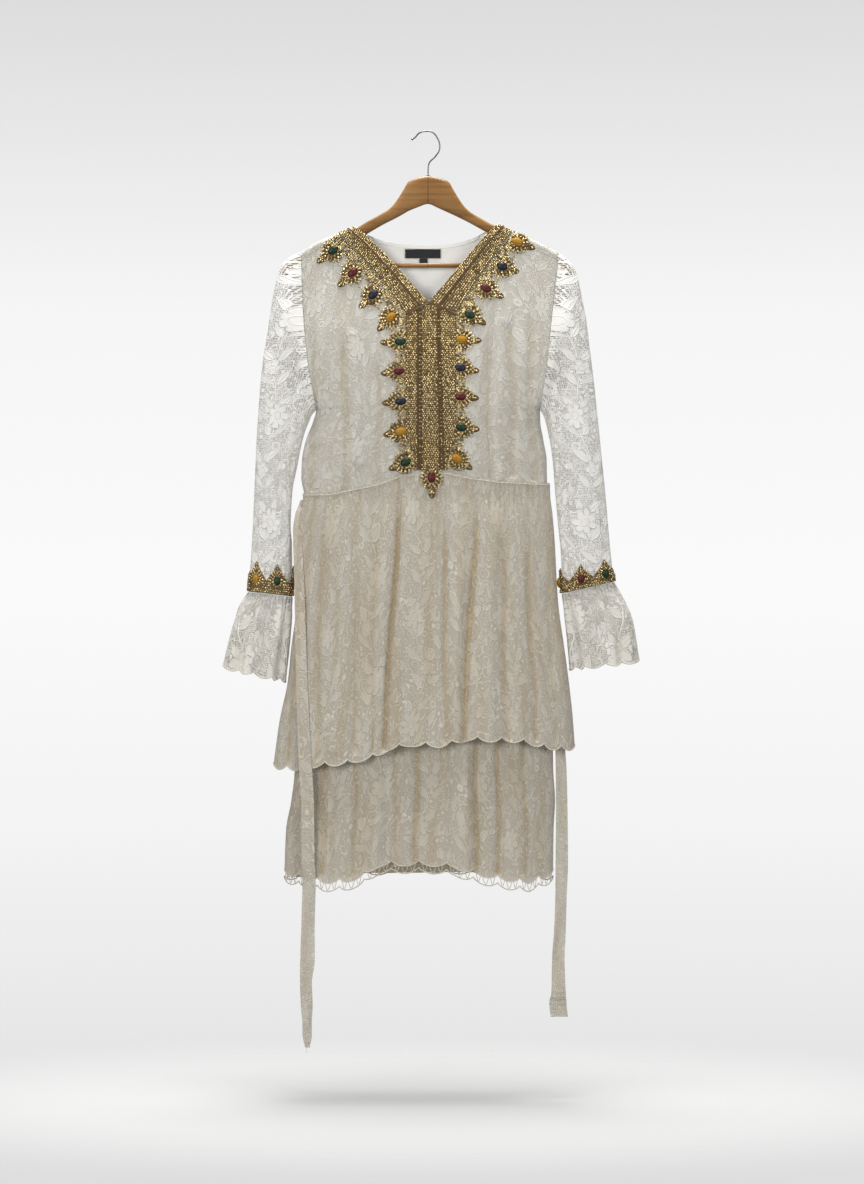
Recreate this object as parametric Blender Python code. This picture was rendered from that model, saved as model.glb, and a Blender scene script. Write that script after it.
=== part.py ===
"""Party dress of corded floral lace over a plain lining, hanging on a wooden hanger.

Frame: +X to the right as seen from the front, the front faces -Y, +Z up. The origin is
the inside top of the hanger's hook, where a peg or rail carries it. Sizes in the tables
are millimetres, and each mesh is written in metres.
"""
import math
from collections import namedtuple

import bmesh
import bpy
from mathutils import Vector

MM = 0.001
SEAM = 0.3
HALF_SEAM = SEAM / 2

# Cloth and trim thicknesses
LACE_WALL = 1.2
LINING_WALL = 1.0
LINING_GAP = 0.6
LINING_INSET = LACE_WALL + LINING_GAP
LINING_INSIDE = LINING_INSET + LINING_WALL
TRIM_GAP = 0.8
TRIM_WALL = 1.8
LABEL_WALL = 1.0

# Roundness of the cloth's cross-sections, as the power of a rounded oval
BODY_ROUND = 2.6
RING_ROUND = 2.4
RIDGE_ROUND = 3.0
SHOULDER_RADIUS = 12.0

# Hanger
ARM_THICKNESS = 14.0
ARM_CHAMFER = 4.5
BAR_DIAMETER = 7.0
BAR_HEIGHT = -200.2
WIRE_DIAMETER = 2.2

# Armholes
SHOULDER_END = -180.0
UNDERARM = -417.0
UNDERARM_RISE = 45.0
CHEST_BELOW = 90.0
CHEST_ABOVE = 110.0
EDGE_POWER = 14

# Lace edges
SCALLOP_DROP = 8.0
EDGE_CORD = 4.5
WINDOW_HEIGHT = 9.0

Level = namedtuple("Level", "z left right depth")
Point = namedtuple("Point", "x z")
Arm = namedtuple("Arm", "x top under")
Ring = namedtuple("Ring", "outer_x outer_z inner_x inner_z depth")
Fold = namedtuple("Fold", "x_top x_hem width depth")
Medallion = namedtuple("Medallion", "x z tip_x tip_z colour")
Band = namedtuple("Band", "x y z width turn")
Ball = namedtuple("Ball", "share radius")

# The body of the dress: side seams as seen from the front, and half its depth
BODY = (
    Level(-180, -189.0, 193.5, 12.0),
    Level(-200, -189.0, 193.5, 13.0),
    Level(-252, -187.5, 188.0, 17.0),
    Level(-297, -184.5, 183.0, 21.0),
    Level(-342, -180.0, 178.5, 24.0),
    Level(-387, -172.5, 172.0, 26.0),
    Level(-417, -168.0, 168.0, 27.0),
    Level(-435, -172.5, 168.5, 27.0),
    Level(-462, -183.0, 173.0, 27.0),
    Level(-492, -189.0, 178.0, 26.5),
    Level(-519, -190.0, 178.5, 26.0),
    Level(-547, -185.5, 179.5, 26.0),
    Level(-702, -192.0, 182.0, 28.0),
    Level(-957, -198.0, 184.0, 31.0),
    Level(-1122, -208.5, 182.0, 33.0),
)

# The shoulder ridge, which rises inside the neck towards the hook
RIDGE = (
    Point(-189.0, -180.0), Point(-177.0, -171.5), Point(-162.0, -163.0), Point(-147.0, -156.8),
    Point(-124.5, -147.9), Point(-111.0, -142.6), Point(0.0, -100.0), Point(105.0, -138.2),
    Point(123.0, -147.6), Point(138.0, -153.8), Point(153.0, -159.8), Point(168.0, -166.5),
    Point(183.0, -174.5), Point(193.5, -180.0),
)

# The V neck at the front and the shallow neckline at the back
V_NECK = (
    Point(-111.0, -142.6), Point(-93.0, -156.0), Point(-72.0, -177.0), Point(-42.0, -208.5),
    Point(-12.0, -243.0), Point(0.5, -256.5), Point(18.0, -237.0), Point(51.0, -198.0),
    Point(78.0, -165.0), Point(91.5, -151.5), Point(105.0, -138.2),
)
BACK_NECK = (
    Point(-111.0, -142.6), Point(-90.0, -153.0), Point(-79.5, -157.5), Point(-64.5, -162.8),
    Point(-49.5, -165.8), Point(-27.0, -168.0), Point(0.0, -168.8), Point(27.0, -167.5),
    Point(40.5, -165.8), Point(55.5, -162.0), Point(70.5, -156.8), Point(82.5, -150.0),
    Point(105.0, -138.2),
)
NECK_LEFT = -111.0
NECK_RIGHT = 105.0

# Hem lines: the front rises towards the middle and lies lower at the left
WAIST_FRONT = (
    Point(-190.0, -546.0), Point(-147.0, -546.0), Point(-124.0, -541.5), Point(-102.0, -537.0),
    Point(-79.5, -532.5), Point(-64.5, -528.0), Point(-42.0, -519.0), Point(0.0, -514.0),
    Point(28.5, -515.0), Point(63.0, -522.0), Point(108.0, -528.0), Point(185.0, -531.0),
)
WAIST_BACK = (Point(-190.0, -546.0), Point(185.0, -531.0))
LINING_HEM_FRONT = (
    Point(-208.0, -1116.0), Point(-110.0, -1114.0), Point(-72.0, -1101.0), Point(0.0, -1095.0),
    Point(25.0, -1095.0), Point(93.0, -1109.0), Point(145.0, -1117.0), Point(184.0, -1112.0),
)
LINING_HEM_BACK = (Point(-208.0, -1116.0), Point(184.0, -1112.0))
UPPER_HEM_FRONT = (
    Point(-232.0, -946.0), Point(-195.0, -948.0), Point(-160.0, -942.0), Point(-117.0, -938.0),
    Point(-76.0, -928.0), Point(-57.0, -917.0), Point(-27.0, -911.0), Point(18.0, -913.0),
    Point(60.0, -903.0), Point(138.0, -906.0), Point(180.0, -917.0), Point(222.0, -919.0),
)
UPPER_HEM_BACK = (Point(-232.0, -946.0), Point(0.0, -928.0), Point(222.0, -919.0))
LOWER_HEM_FRONT = (
    Point(-216.0, -1116.0), Point(-156.0, -1127.0), Point(-124.0, -1126.0), Point(-99.0, -1119.0),
    Point(-72.0, -1100.0), Point(0.0, -1099.0), Point(40.0, -1103.0), Point(63.0, -1112.0),
    Point(104.0, -1122.0), Point(150.0, -1128.0), Point(188.0, -1116.0),
)
LOWER_HEM_BACK = (Point(-216.0, -1116.0), Point(0.0, -1108.0), Point(188.0, -1116.0))

# The two gathered tiers
UPPER_TIER = (
    Level(-505, -191.5, 182.0, 28.05),
    Level(-547, -187.6, 183.5, 28.1),
    Level(-575, -192.5, 187.0, 30.8),
    Level(-612, -196.0, 190.0, 33.5),
    Level(-702, -197.0, 195.0, 38.5),
    Level(-777, -205.5, 205.0, 43.0),
    Level(-822, -210.0, 211.0, 45.5),
    Level(-882, -222.5, 217.5, 49.5),
    Level(-950, -232.0, 222.0, 53.0),
)
LOWER_TIER = (
    Level(-850, -197.5, 186.5, 30.05),
    Level(-957, -200.0, 188.0, 35.5),
    Level(-1002, -205.0, 190.5, 38.0),
    Level(-1047, -213.0, 188.5, 40.5),
    Level(-1130, -216.0, 187.5, 45.0),
)
LOWER_TIER_TOP = -851.0
TIER_LAP = 4.0

# Troughs run from the waist to the hem, and the ridges between them stand out
UPPER_FOLDS_FRONT = (
    Fold(-172, -196, 16, -4.0), Fold(-156, -165, 18, -5.0), Fold(-128, -132, 20, 3.0),
    Fold(-106, -109, 17, -5.0), Fold(-77, -84, 17, -4.0), Fold(-58, -80, 20, 3.0),
    Fold(-39, -69, 15, -6.5), Fold(-18, -46, 22, 4.0), Fold(6, -8, 24, -3.0),
    Fold(24, 27, 18, -4.5), Fold(48, 38, 20, 3.5), Fold(74, 51, 16, -5.5),
    Fold(92, 88, 26, 3.5), Fold(114, 117, 18, -5.0), Fold(146, 160, 18, -4.5), Fold(166, 190, 18, -4.0),
)
UPPER_FOLDS_BACK = (
    Fold(-160, -180, 22, -4.5), Fold(-118, -136, 22, -5.0), Fold(-84, -98, 24, 3.5),
    Fold(-62, -70, 20, -5.5), Fold(-28, -34, 24, 4.0), Fold(-6, -8, 18, -5.0),
    Fold(30, 36, 24, 3.5), Fold(52, 62, 20, -5.5), Fold(88, 106, 22, -5.0),
    Fold(122, 146, 24, 3.0), Fold(148, 176, 20, -4.5),
)
LOWER_FOLDS_FRONT = (
    Fold(-178, -190, 20, -3.0), Fold(-132, -134, 22, 3.0), Fold(-97, -97, 17, -4.0),
    Fold(-76, -80, 16, 3.0), Fold(-57, -58, 15, -4.0), Fold(-20, -15, 15, -5.0),
    Fold(4, 6, 20, 3.5), Fold(54, 54, 16, 4.0), Fold(66, 68, 13, -4.5),
    Fold(103, 104, 18, -4.0), Fold(134, 134, 22, 3.0), Fold(163, 165, 18, -3.0),
)
LOWER_FOLDS_BACK = (
    Fold(-160, -168, 22, -4.0), Fold(-118, -124, 24, 3.5), Fold(-78, -80, 20, -4.5),
    Fold(-36, -36, 24, 3.5), Fold(0, 0, 18, -4.5), Fold(42, 44, 24, 3.5),
    Fold(84, 88, 20, -4.0), Fold(124, 130, 24, 3.5), Fold(156, 164, 20, -3.5),
)

# Sleeve sections from the armhole to the wrist: the outer edge, the underarm edge, half depth
SLEEVE_LEFT = (
    Ring(-189.0, -180.0, -168.0, -417.0, 22.0),
    Ring(-207.0, -188.0, -171.8, -421.5, 22.5),
    Ring(-219.8, -201.0, -175.5, -427.5, 23.0),
    Ring(-226.5, -220.5, -178.5, -435.0, 23.0),
    Ring(-234.0, -255.0, -183.5, -447.0, 23.0),
    Ring(-240.8, -300.0, -188.0, -462.0, 22.5),
    Ring(-247.5, -342.0, -192.0, -480.0, 22.0),
    Ring(-252.0, -387.0, -196.0, -501.0, 21.0),
    Ring(-257.0, -460.0, -203.5, -541.0, 19.0),
    Ring(-261.0, -552.0, -206.0, -589.5, 17.0),
    Ring(-263.5, -604.5, -204.0, -619.5, 16.0),
    Ring(-266.3, -649.5, -203.6, -657.0, 15.5),
    Ring(-269.3, -690.0, -203.6, -697.5, 15.5),
)
SLEEVE_RIGHT = (
    Ring(193.5, -180.0, 168.0, -417.0, 22.0),
    Ring(205.5, -189.0, 171.0, -421.5, 22.5),
    Ring(215.3, -198.0, 174.0, -427.5, 23.0),
    Ring(223.5, -214.5, 176.3, -435.0, 23.0),
    Ring(231.0, -249.0, 179.5, -448.5, 23.0),
    Ring(237.0, -279.0, 183.0, -465.0, 22.5),
    Ring(243.0, -327.0, 186.0, -484.5, 22.0),
    Ring(248.3, -369.0, 188.0, -504.0, 21.0),
    Ring(257.5, -457.0, 191.0, -544.0, 19.0),
    Ring(267.0, -552.0, 195.5, -594.0, 17.0),
    Ring(271.5, -604.5, 198.5, -624.0, 16.0),
    Ring(275.5, -645.0, 200.3, -660.0, 15.5),
    Ring(278.5, -675.0, 201.0, -693.0, 15.5),
)
RUFFLE_LEFT = (
    Ring(-269.3, -690.4, -203.6, -697.9, 15.5),
    Ring(-280.5, -709.0, -204.0, -722.0, 19.5),
    Ring(-293.0, -752.0, -208.5, -767.0, 26.5),
    Ring(-303.0, -799.0, -216.0, -819.0, 33.0),
)
RUFFLE_RIGHT = (
    Ring(278.5, -675.4, 201.0, -693.4, 15.5),
    Ring(289.0, -695.0, 203.8, -720.0, 20.0),
    Ring(304.0, -732.0, 209.5, -760.0, 26.5),
    Ring(312.5, -790.0, 215.0, -801.0, 33.0),
)
RUFFLE_WAVES = 9
RUFFLE_WAVE_DEPTH = 4.5
RUFFLE_SCALLOPS = 12
RUFFLE_SCALLOP_DROP = 6.0

# Jewelled medallions, each a stone and the point of its gold surround
MEDALLIONS_LEFT = (
    Medallion(-141.8, -179.3, -166.5, -198.0, "green"), Medallion(-112.5, -213.0, -135.0, -234.0, "red"),
    Medallion(-81.8, -246.0, -103.5, -267.0, "navy"), Medallion(-55.5, -279.8, -75.0, -300.0, "yellow"),
    Medallion(-41.3, -316.5, -71.3, -318.0, "green"), Medallion(-42.8, -360.8, -69.0, -364.5, "red"),
    Medallion(-40.5, -405.8, -67.5, -408.8, "navy"), Medallion(-40.5, -450.8, -64.5, -456.0, "yellow"),
    Medallion(-33.0, -496.5, -57.0, -507.0, "green"),
)
MEDALLIONS_RIGHT = (
    Medallion(133.5, -166.5, 159.0, -176.3, "yellow"), Medallion(111.0, -203.3, 136.5, -213.0, "navy"),
    Medallion(86.3, -236.3, 113.3, -250.5, "red"), Medallion(62.3, -276.0, 85.5, -290.3, "green"),
    Medallion(50.3, -313.5, 79.5, -315.0, "yellow"), Medallion(48.0, -355.5, 75.8, -360.8, "navy"),
    Medallion(48.0, -399.0, 75.0, -401.3, "red"), Medallion(49.5, -444.8, 75.8, -447.8, "green"),
    Medallion(43.5, -491.3, 64.5, -506.3, "yellow"),
)
MEDALLION_BOTTOM = Medallion(5.3, -519.0, 6.0, -551.3, "red")
STONE_LENGTH = 16.0
STONE_WIDTH = 11.0
STONE_HEIGHT = 2.2
CUFF_MEDALLIONS = 5
CUFF_HEIGHT = 18.0
CUFF_POINT = 46.0
CUFF_STONE_HEIGHT = 20.0

# The gold panel down the front, narrower at its foot between the last two medallions
PLACKET = (
    Level(-257.6, -33.0, 42.0, 0), Level(-300.0, -33.0, 42.0, 0), Level(-360.0, -33.0, 42.0, 0),
    Level(-420.0, -33.0, 42.0, 0), Level(-461.0, -33.0, 42.0, 0), Level(-484.0, -20.0, 29.0, 0),
    Level(-508.0, -20.0, 29.0, 0),
)
PLACKET_SLOPE = 0.48
BASE_LEFT = (
    Point(-143.0, -158.5), Point(-106.0, -194.0), Point(-72.0, -231.0), Point(-35.5, -277.0),
    Point(-34.4, -463.0), Point(-21.6, -486.0), Point(-21.6, -506.0),
)
BASE_RIGHT = (
    Point(136.0, -155.0), Point(108.0, -190.0), Point(79.0, -231.0), Point(44.0, -276.0),
    Point(43.4, -463.0), Point(30.6, -486.0), Point(30.6, -506.0),
)

# The flat gold band beside the V: its outer edge, from the shoulder to the placket
BAND_OUTER_LEFT = (Point(-134.0, -152.2), Point(-100.0, -187.0), Point(-66.0, -224.0), Point(-33.0, -273.5))
BAND_OUTER_RIGHT = (Point(126.0, -149.3), Point(101.0, -182.0), Point(72.0, -224.0), Point(42.0, -272.0))

# The hanger's outline, from its left end to its right end
ARMS = (
    Arm(-217.5, -206.0, -218.0), Arm(-214.0, -201.5, -221.0), Arm(-207.0, -194.8, -217.5),
    Arm(-196.0, -188.4, -211.5), Arm(-184.5, -182.1, -204.8), Arm(-171.0, -172.8, -196.5),
    Arm(-147.0, -161.4, -183.3), Arm(-124.5, -152.3, -171.0), Arm(-112.5, -147.4, -164.4),
    Arm(-94.5, -136.6, -154.5), Arm(-67.5, -121.5, -138.8), Arm(-57.0, -114.8, -133.5),
    Arm(-49.5, -106.5, -129.8), Arm(-36.0, -85.5, -122.5), Arm(-30.0, -75.0, -119.0),
    Arm(-15.0, -68.3, -112.8), Arm(0.0, -65.7, -108.0), Arm(15.0, -68.3, -114.0),
    Arm(31.5, -75.0, -121.5), Arm(37.5, -85.5, -124.2), Arm(52.5, -109.5, -131.2),
    Arm(63.0, -120.0, -136.5), Arm(78.0, -129.0, -144.8), Arm(93.0, -137.3, -153.4),
    Arm(105.0, -143.0, -160.0), Arm(123.0, -152.0, -169.8), Arm(147.0, -161.9, -183.0),
    Arm(172.5, -173.2, -196.5), Arm(184.5, -180.4, -204.8), Arm(196.0, -187.2, -211.0),
    Arm(206.0, -195.0, -216.5), Arm(212.0, -201.0, -220.0), Arm(215.5, -206.0, -217.0),
)
HOOK_ROUTE = (
    Point(-24.8, -11.3), Point(-19.5, -8.3), Point(-14.0, -2.2), Point(-9.0, 0.3), Point(-4.0, 1.2),
    Point(4.5, 0.6), Point(9.5, -2.6), Point(13.8, -8.6), Point(16.6, -15.0), Point(17.6, -22.5),
    Point(16.4, -28.8), Point(13.4, -33.6), Point(9.0, -39.0), Point(3.8, -43.6), Point(1.0, -49.0),
    Point(0.3, -56.0), Point(0.2, -65.2),
)

# The ties: the middle of each band, its width, and how far it is turned from facing the front
TIE_WALL = 1.4
TIE_LEFT = (
    Band(-195.6, -2, -552, 10, 0), Band(-196.0, -4, -580, 12, 10), Band(-194.5, -8, -620, 14, 15),
    Band(-192.0, -14, -680, 15, 8), Band(-190.0, -22, -750, 16, 0), Band(-188.0, -28, -820, 17, 4),
    Band(-185.0, -34, -890, 18, -4), Band(-182.0, -38, -950, 19, 3), Band(-178.5, -38, -1010, 19, -5),
    Band(-177.8, -38, -1092, 19, 4), Band(-176.5, -38, -1122, 20, -6), Band(-178.0, -38, -1180, 20, 8),
    Band(-178.8, -38, -1235, 22, -6), Band(-181.0, -38, -1270, 18, 12), Band(-180.0, -38, -1300, 18, -4),
    Band(-179.5, -37, -1330, 14, 6), Band(-179.3, -37, -1347, 14, 0), Band(-178.8, -37, -1366, 7, 0),
)
TIE_RIGHT = (
    Band(179.4, 0, -572, 10, 90), Band(182.0, 0, -610, 12, 88), Band(186.5, -1, -680, 13, 86),
    Band(192.0, -2, -760, 14, 82), Band(195.5, -4, -850, 15, 66), Band(197.5, -6, -910, 16, 30),
    Band(199.5, -8, -965, 17, 8), Band(200.3, -8, -1050, 18, -4), Band(200.3, -9, -1092, 19, 5),
    Band(199.0, -9, -1152, 17, -8), Band(197.3, -8, -1200, 18, 8), Band(195.0, -8, -1242, 19, -4),
    Band(195.5, -8, -1290, 22, 6), Band(194.5, -8, -1306, 26, 0), Band(196.5, -8, -1326, 26, 0),
)


def limit(value, low, high):
    return max(low, min(high, value))


def curve(rows, at, column, key=0):
    """Read one column of a table at a place between its rows, along a smooth curve with no overshoot."""
    if rows[0][key] > rows[-1][key]:
        rows = rows[::-1]
    at = limit(at, rows[0][key], rows[-1][key])
    place = 0
    while place < len(rows) - 2 and at > rows[place + 1][key]:
        place += 1
    spans = [rows[i + 1][key] - rows[i][key] for i in range(len(rows) - 1)]
    slopes = [(getattr(rows[i + 1], column) - getattr(rows[i], column)) / spans[i] for i in range(len(spans))]

    def tangent(row):
        before = slopes[max(row - 1, 0)]
        after = slopes[min(row, len(slopes) - 1)]
        if before * after <= 0:
            return 0.0
        return 2 * before * after / (before + after)

    span = spans[place]
    t = (at - rows[place][key]) / span
    start = getattr(rows[place], column)
    end = getattr(rows[place + 1], column)
    return (
        start * (2 * t**3 - 3 * t**2 + 1) + end * (3 * t**2 - 2 * t**3)
        + span * tangent(place) * (t**3 - 2 * t**2 + t) + span * tangent(place + 1) * (t**3 - t**2)
    )


def straight(rows, at):
    """Read z at x from a line of straight stretches."""
    at = limit(at, rows[0].x, rows[-1].x)
    for start, end in zip(rows, rows[1:]):
        if at <= end.x:
            return start.z + (end.z - start.z) * (at - start.x) / (end.x - start.x)
    return rows[-1].z


def arch(place, power):
    """Height of a rounded arch of height 1, from its middle at place 0 to its foot at place 1."""
    return (1 - limit(abs(place), 0, 1) ** power) ** (1 / power)


def spread(u, ease):
    """Columns from -1 to 1, closer together near both side seams."""
    return (1 - ease) * (2 * u - 1) + ease * math.sin(math.pi * (u - 0.5))


def material(name, colour, roughness, metallic=0.0):
    finish = bpy.data.materials.new(name)
    finish.use_nodes = True
    shader = finish.node_tree.nodes["Principled BSDF"]
    shader.inputs["Base Color"].default_value = (*colour, 1)
    shader.inputs["Roughness"].default_value = roughness
    shader.inputs["Metallic"].default_value = metallic
    return finish


def place_mesh(name, shape, finish):
    """Write a bmesh as a named object with its faces pointing out."""
    bmesh.ops.recalc_face_normals(shape, faces=shape.faces)
    mesh = bpy.data.meshes.new(name)
    shape.to_mesh(mesh)
    shape.free()
    mesh.materials.append(finish)
    thing = bpy.data.objects.new(name, mesh)
    bpy.context.scene.collection.objects.link(thing)
    return thing


def wall(name, columns, rows, point, thickness, finish, ring=False, gaps=()):
    """A sheet of cloth with a real thickness; point(u, v, inset) is its place, inset measured inwards."""
    shape = bmesh.new()
    bmesh.ops.create_grid(shape, x_segments=columns, y_segments=rows, size=0.5)
    for vertex in shape.verts:
        vertex.co.x = round((vertex.co.x + 0.5) * columns) / columns
        vertex.co.y = round((vertex.co.y + 0.5) * rows) / rows
    if gaps:
        cut = []
        for face in shape.faces:
            middle = face.calc_center_median()
            if (int(middle.x * columns), int(middle.y * rows)) in gaps:
                cut.append(face)
        bmesh.ops.delete(shape, geom=cut, context="FACES")
    if ring:
        first = {round(v.co.y * rows): v for v in shape.verts if v.co.x == 0}
        pairs = {v: first[round(v.co.y * rows)] for v in shape.verts if v.co.x == 1}
        bmesh.ops.weld_verts(shape, targetmap=pairs)
    made = bmesh.ops.extrude_face_region(shape, geom=shape.faces[:] + shape.edges[:], use_keep_orig=True)
    outside = {item for item in made["geom"] if isinstance(item, bmesh.types.BMVert)}
    for vertex in shape.verts:
        inset = 0.0 if vertex in outside else thickness
        vertex.co = point(vertex.co.x, vertex.co.y, inset) * MM
    return place_mesh(name, shape, finish)


def loft(name, sections, finish):
    """A closed solid through sections with the same number of points."""
    shape = bmesh.new()
    loops = []
    for section in sections:
        corners = [shape.verts.new(point * MM) for point in section]
        loops.append([shape.edges.new((corners[i - 1], corners[i])) for i in range(len(corners))])
        if section is sections[0] or section is sections[-1]:
            shape.faces.new(corners)
    for before, after in zip(loops, loops[1:]):
        bmesh.ops.bridge_loops(shape, edges=before + after)
    bmesh.ops.triangulate(shape, faces=shape.faces)
    return place_mesh(name, shape, finish)


def inwards(surface, u, v, inset, along):
    """Move a surface point inwards along its normal, kept within the plane of a seam by along."""
    step = 0.0005
    across = surface(u + step, v) - surface(u - step, v)
    down = surface(u, min(v + step, 1)) - surface(u, max(v - step, 0))
    normal = across.cross(down)
    normal = Vector((normal.x * along[0], normal.y * along[1], normal.z * along[2]))
    return surface(u, v) - normal.normalized() * inset


# Body surface, shared by the bodice, the lining and everything that lies on them
def ridge(x):
    return curve(RIDGE, x, "z")


def side_closing(s, z, inset):
    """1 where the cloth is open to a sleeve, and a rounded oval's side below the underarm."""
    edge = arch(1 - limit((z - UNDERARM - inset) / UNDERARM_RISE, 0, 1), BODY_ROUND)
    t = limit((z - UNDERARM + CHEST_BELOW) / (CHEST_BELOW + CHEST_ABOVE), 0, 1)
    chest = t * t * (3 - 2 * t)
    near_edge = abs(s) ** EDGE_POWER
    opened = edge * near_edge + chest * (1 - near_edge)
    closed = arch(s, BODY_ROUND)
    return closed + (1 - closed) * opened


def body_span(z, inset):
    left = curve(BODY, z, "left")
    right = curve(BODY, z, "right")
    return (left + right) / 2, (right - left) / 2 - inset


def body_reach(s, x, z, inset):
    """Half the body's depth, with the cloth rounded over the shoulder ridge."""
    below = max(ridge(x) - inset - z, 0)
    full = (curve(BODY, z, "depth") - inset) * arch(max(1 - below / SHOULDER_RADIUS, 0), RIDGE_ROUND)
    return full * side_closing(s, z, inset)


def body_point(facing, s, z, inset):
    """A point at a share s of the half width; facing is -1 for the front and 1 for the back."""
    middle, half = body_span(z, inset)
    x = middle + half * s
    return Vector((x, facing * (HALF_SEAM + body_reach(s, x, z, inset)), z))


def body_at(facing, x, z, inset):
    """The same surface at a given x and z, for what lies on it."""
    middle, half = body_span(z, 0)
    s = limit((x - middle) / half, -1, 1)
    return Vector((x, facing * (HALF_SEAM + body_reach(s, x, z, inset)), z))


def neckline(facing, x):
    if NECK_LEFT < x < NECK_RIGHT:
        return straight(V_NECK if facing < 0 else BACK_NECK, x)
    return ridge(x)


NECK_EASE = 1.7


def body_columns(u, columns):
    """Shares of the half width, with a column at each neck point and at the V's foot."""
    middle, half = body_span(SHOULDER_END, 0)
    stops = [-1, (NECK_LEFT - middle) / half, (0.5 - middle) / half, (NECK_RIGHT - middle) / half, 1]
    counts = columns
    place = u * sum(counts)
    for i, count in enumerate(counts):
        if place <= count + 1e-6 or i == len(counts) - 1:
            t = place / count
            break
        place -= count
    if i == 0:
        t = 1 - math.cos(t * math.pi / 2)
    elif i == 1:
        t = t ** NECK_EASE
    elif i == 2:
        t = 1 - (1 - t) ** NECK_EASE
    else:
        t = math.sin(t * math.pi / 2)
    return stops[i] + (stops[i + 1] - stops[i]) * t


def body_panel(name, facing, columns, row_shares, waist, hem, inset, thickness, finish):
    """A body panel; rows lie at 0 on the shoulder line, 1 at the underarm, 2 at the waist, 3 at the hem."""
    rows = len(row_shares) - 1

    def point(u, v, depth):
        s = body_columns(u, columns)
        deep = inset + depth
        top = SHOULDER_END
        middle_line = waist[0].z
        bottom = hem[0].z
        for _ in range(4):
            middle, half = body_span(top, deep)
            top = neckline(facing, middle + half * s) - deep
            middle, half = body_span(middle_line, deep)
            middle_line = straight(waist, middle + half * s)
            middle, half = body_span(bottom, deep)
            bottom = straight(hem, middle + half * s)
        share = row_shares[round(v * rows)]
        levels = (top, UNDERARM, middle_line, bottom)
        part = min(int(share), 2)
        z = levels[part] + (levels[part + 1] - levels[part]) * (share - part)
        return body_point(facing, s, z, deep)

    return wall(name, sum(columns), rows, point, thickness, finish)


BODICE_ROWS = (0, 0.007, 0.026, 0.075, 0.25, 0.55, 0.82, 0.94, 1.0, 1.35, 2.0)
LINING_TOP_ROWS = BODICE_ROWS[:-1] + (1.9985,)
LINING_SKIRT_ROWS = (2.0004, 2.3, 2.65, 3.0)
FRONT_COLUMNS = (5, 6, 6, 5)
BACK_COLUMNS = (5, 4, 4, 5)


def build_bodice(lace):
    body_panel("bodice_front", -1, FRONT_COLUMNS, BODICE_ROWS, WAIST_FRONT, WAIST_FRONT, 0, LACE_WALL, lace)
    body_panel("bodice_back", 1, BACK_COLUMNS, BODICE_ROWS, WAIST_BACK, WAIST_BACK, 0, LACE_WALL, lace)


def build_lining(plain):
    """The lining's top and skirt, with a seam's gap between them at the waist."""
    for side, facing, columns, waist, hem in (
        ("front", -1, FRONT_COLUMNS, WAIST_FRONT, LINING_HEM_FRONT),
        ("back", 1, BACK_COLUMNS, WAIST_BACK, LINING_HEM_BACK),
    ):
        for name, rows in (("lining_", LINING_TOP_ROWS), ("lining_skirt_", LINING_SKIRT_ROWS)):
            body_panel(name + side, facing, columns, rows, waist, hem, LINING_INSET, LINING_WALL, plain)


# Skirt tiers
def fold_depth(folds, x, share):
    """How far the folds push the cloth out at x, at a share of the way down to the hem."""
    depth = 0.0
    for fold in folds:
        middle = fold.x_top + (fold.x_hem - fold.x_top) * share
        width = fold.width * (0.7 + 0.6 * share)
        away = (x - middle) / width
        if abs(away) < 1:
            depth += fold.depth * (0.08 + 0.92 * share) * math.cos(away * math.pi / 2) ** 2
    return depth


def scallop(u, count, drop):
    """Drop of a scalloped edge below its notches."""
    return drop * abs(math.sin(math.pi * u * count)) ** 0.7


def tier(name, facing, levels, folds, top_line, hem_line, scallops, per_scallop, rows, finish, windows=False):
    """One gathered tier with a scalloped hem, and a row of open loops above it where it has them."""
    columns = scallops * per_scallop
    edge_rows = 2 if windows else 0

    def height(u, s, v):
        top = top_line[0].z
        hem = hem_line[0].z
        for _ in range(4):
            left = curve(levels, top, "left")
            right = curve(levels, top, "right")
            top = straight(top_line, (left + right) / 2 + (right - left) / 2 * s)
            left = curve(levels, hem, "left")
            right = curve(levels, hem, "right")
            hem = straight(hem_line, (left + right) / 2 + (right - left) / 2 * s)
        low = hem - scallop(u, scallops, SCALLOP_DROP)
        if not windows:
            return top + (low - top) * v
        above = hem + EDGE_CORD + WINDOW_HEIGHT - SCALLOP_DROP
        row = v * rows
        if row <= rows - edge_rows:
            return top + (above - top) * row / (rows - edge_rows)
        if row <= rows - 1:
            return above + (low + EDGE_CORD - above) * (row - rows + edge_rows)
        return low + EDGE_CORD * (rows - row)

    def surface(u, v):
        s = spread(limit(u, 0, 1), 0.4)
        z = height(limit(u, 0, 1), s, v)
        left = curve(levels, z, "left")
        right = curve(levels, z, "right")
        x = (left + right) / 2 + (right - left) / 2 * s
        reach = curve(levels, z, "depth") * arch(s, BODY_ROUND)
        reach += fold_depth(folds, x, v) * (1 - abs(s) ** 8)
        if u < 0 or u > 1:
            reach -= 10
        return Vector((x, facing * (HALF_SEAM + max(reach, 0)), z))

    def point(u, v, inset):
        at_seam = u in (0, 1)
        if at_seam:
            return surface(u, v) + Vector((inset if u == 0 else -inset, 0, 0))
        moved = inwards(surface, u, v, inset * facing, (1, 1, 0))
        moved.y = facing * max(facing * moved.y, HALF_SEAM)
        return moved

    gaps = set()
    if windows:
        for i in range(scallops):
            for j in range(1, per_scallop - 1):
                gaps.add((i * per_scallop + j, rows - edge_rows))
    wall(name, columns, rows, point, LACE_WALL, finish, gaps=gaps)


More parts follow.
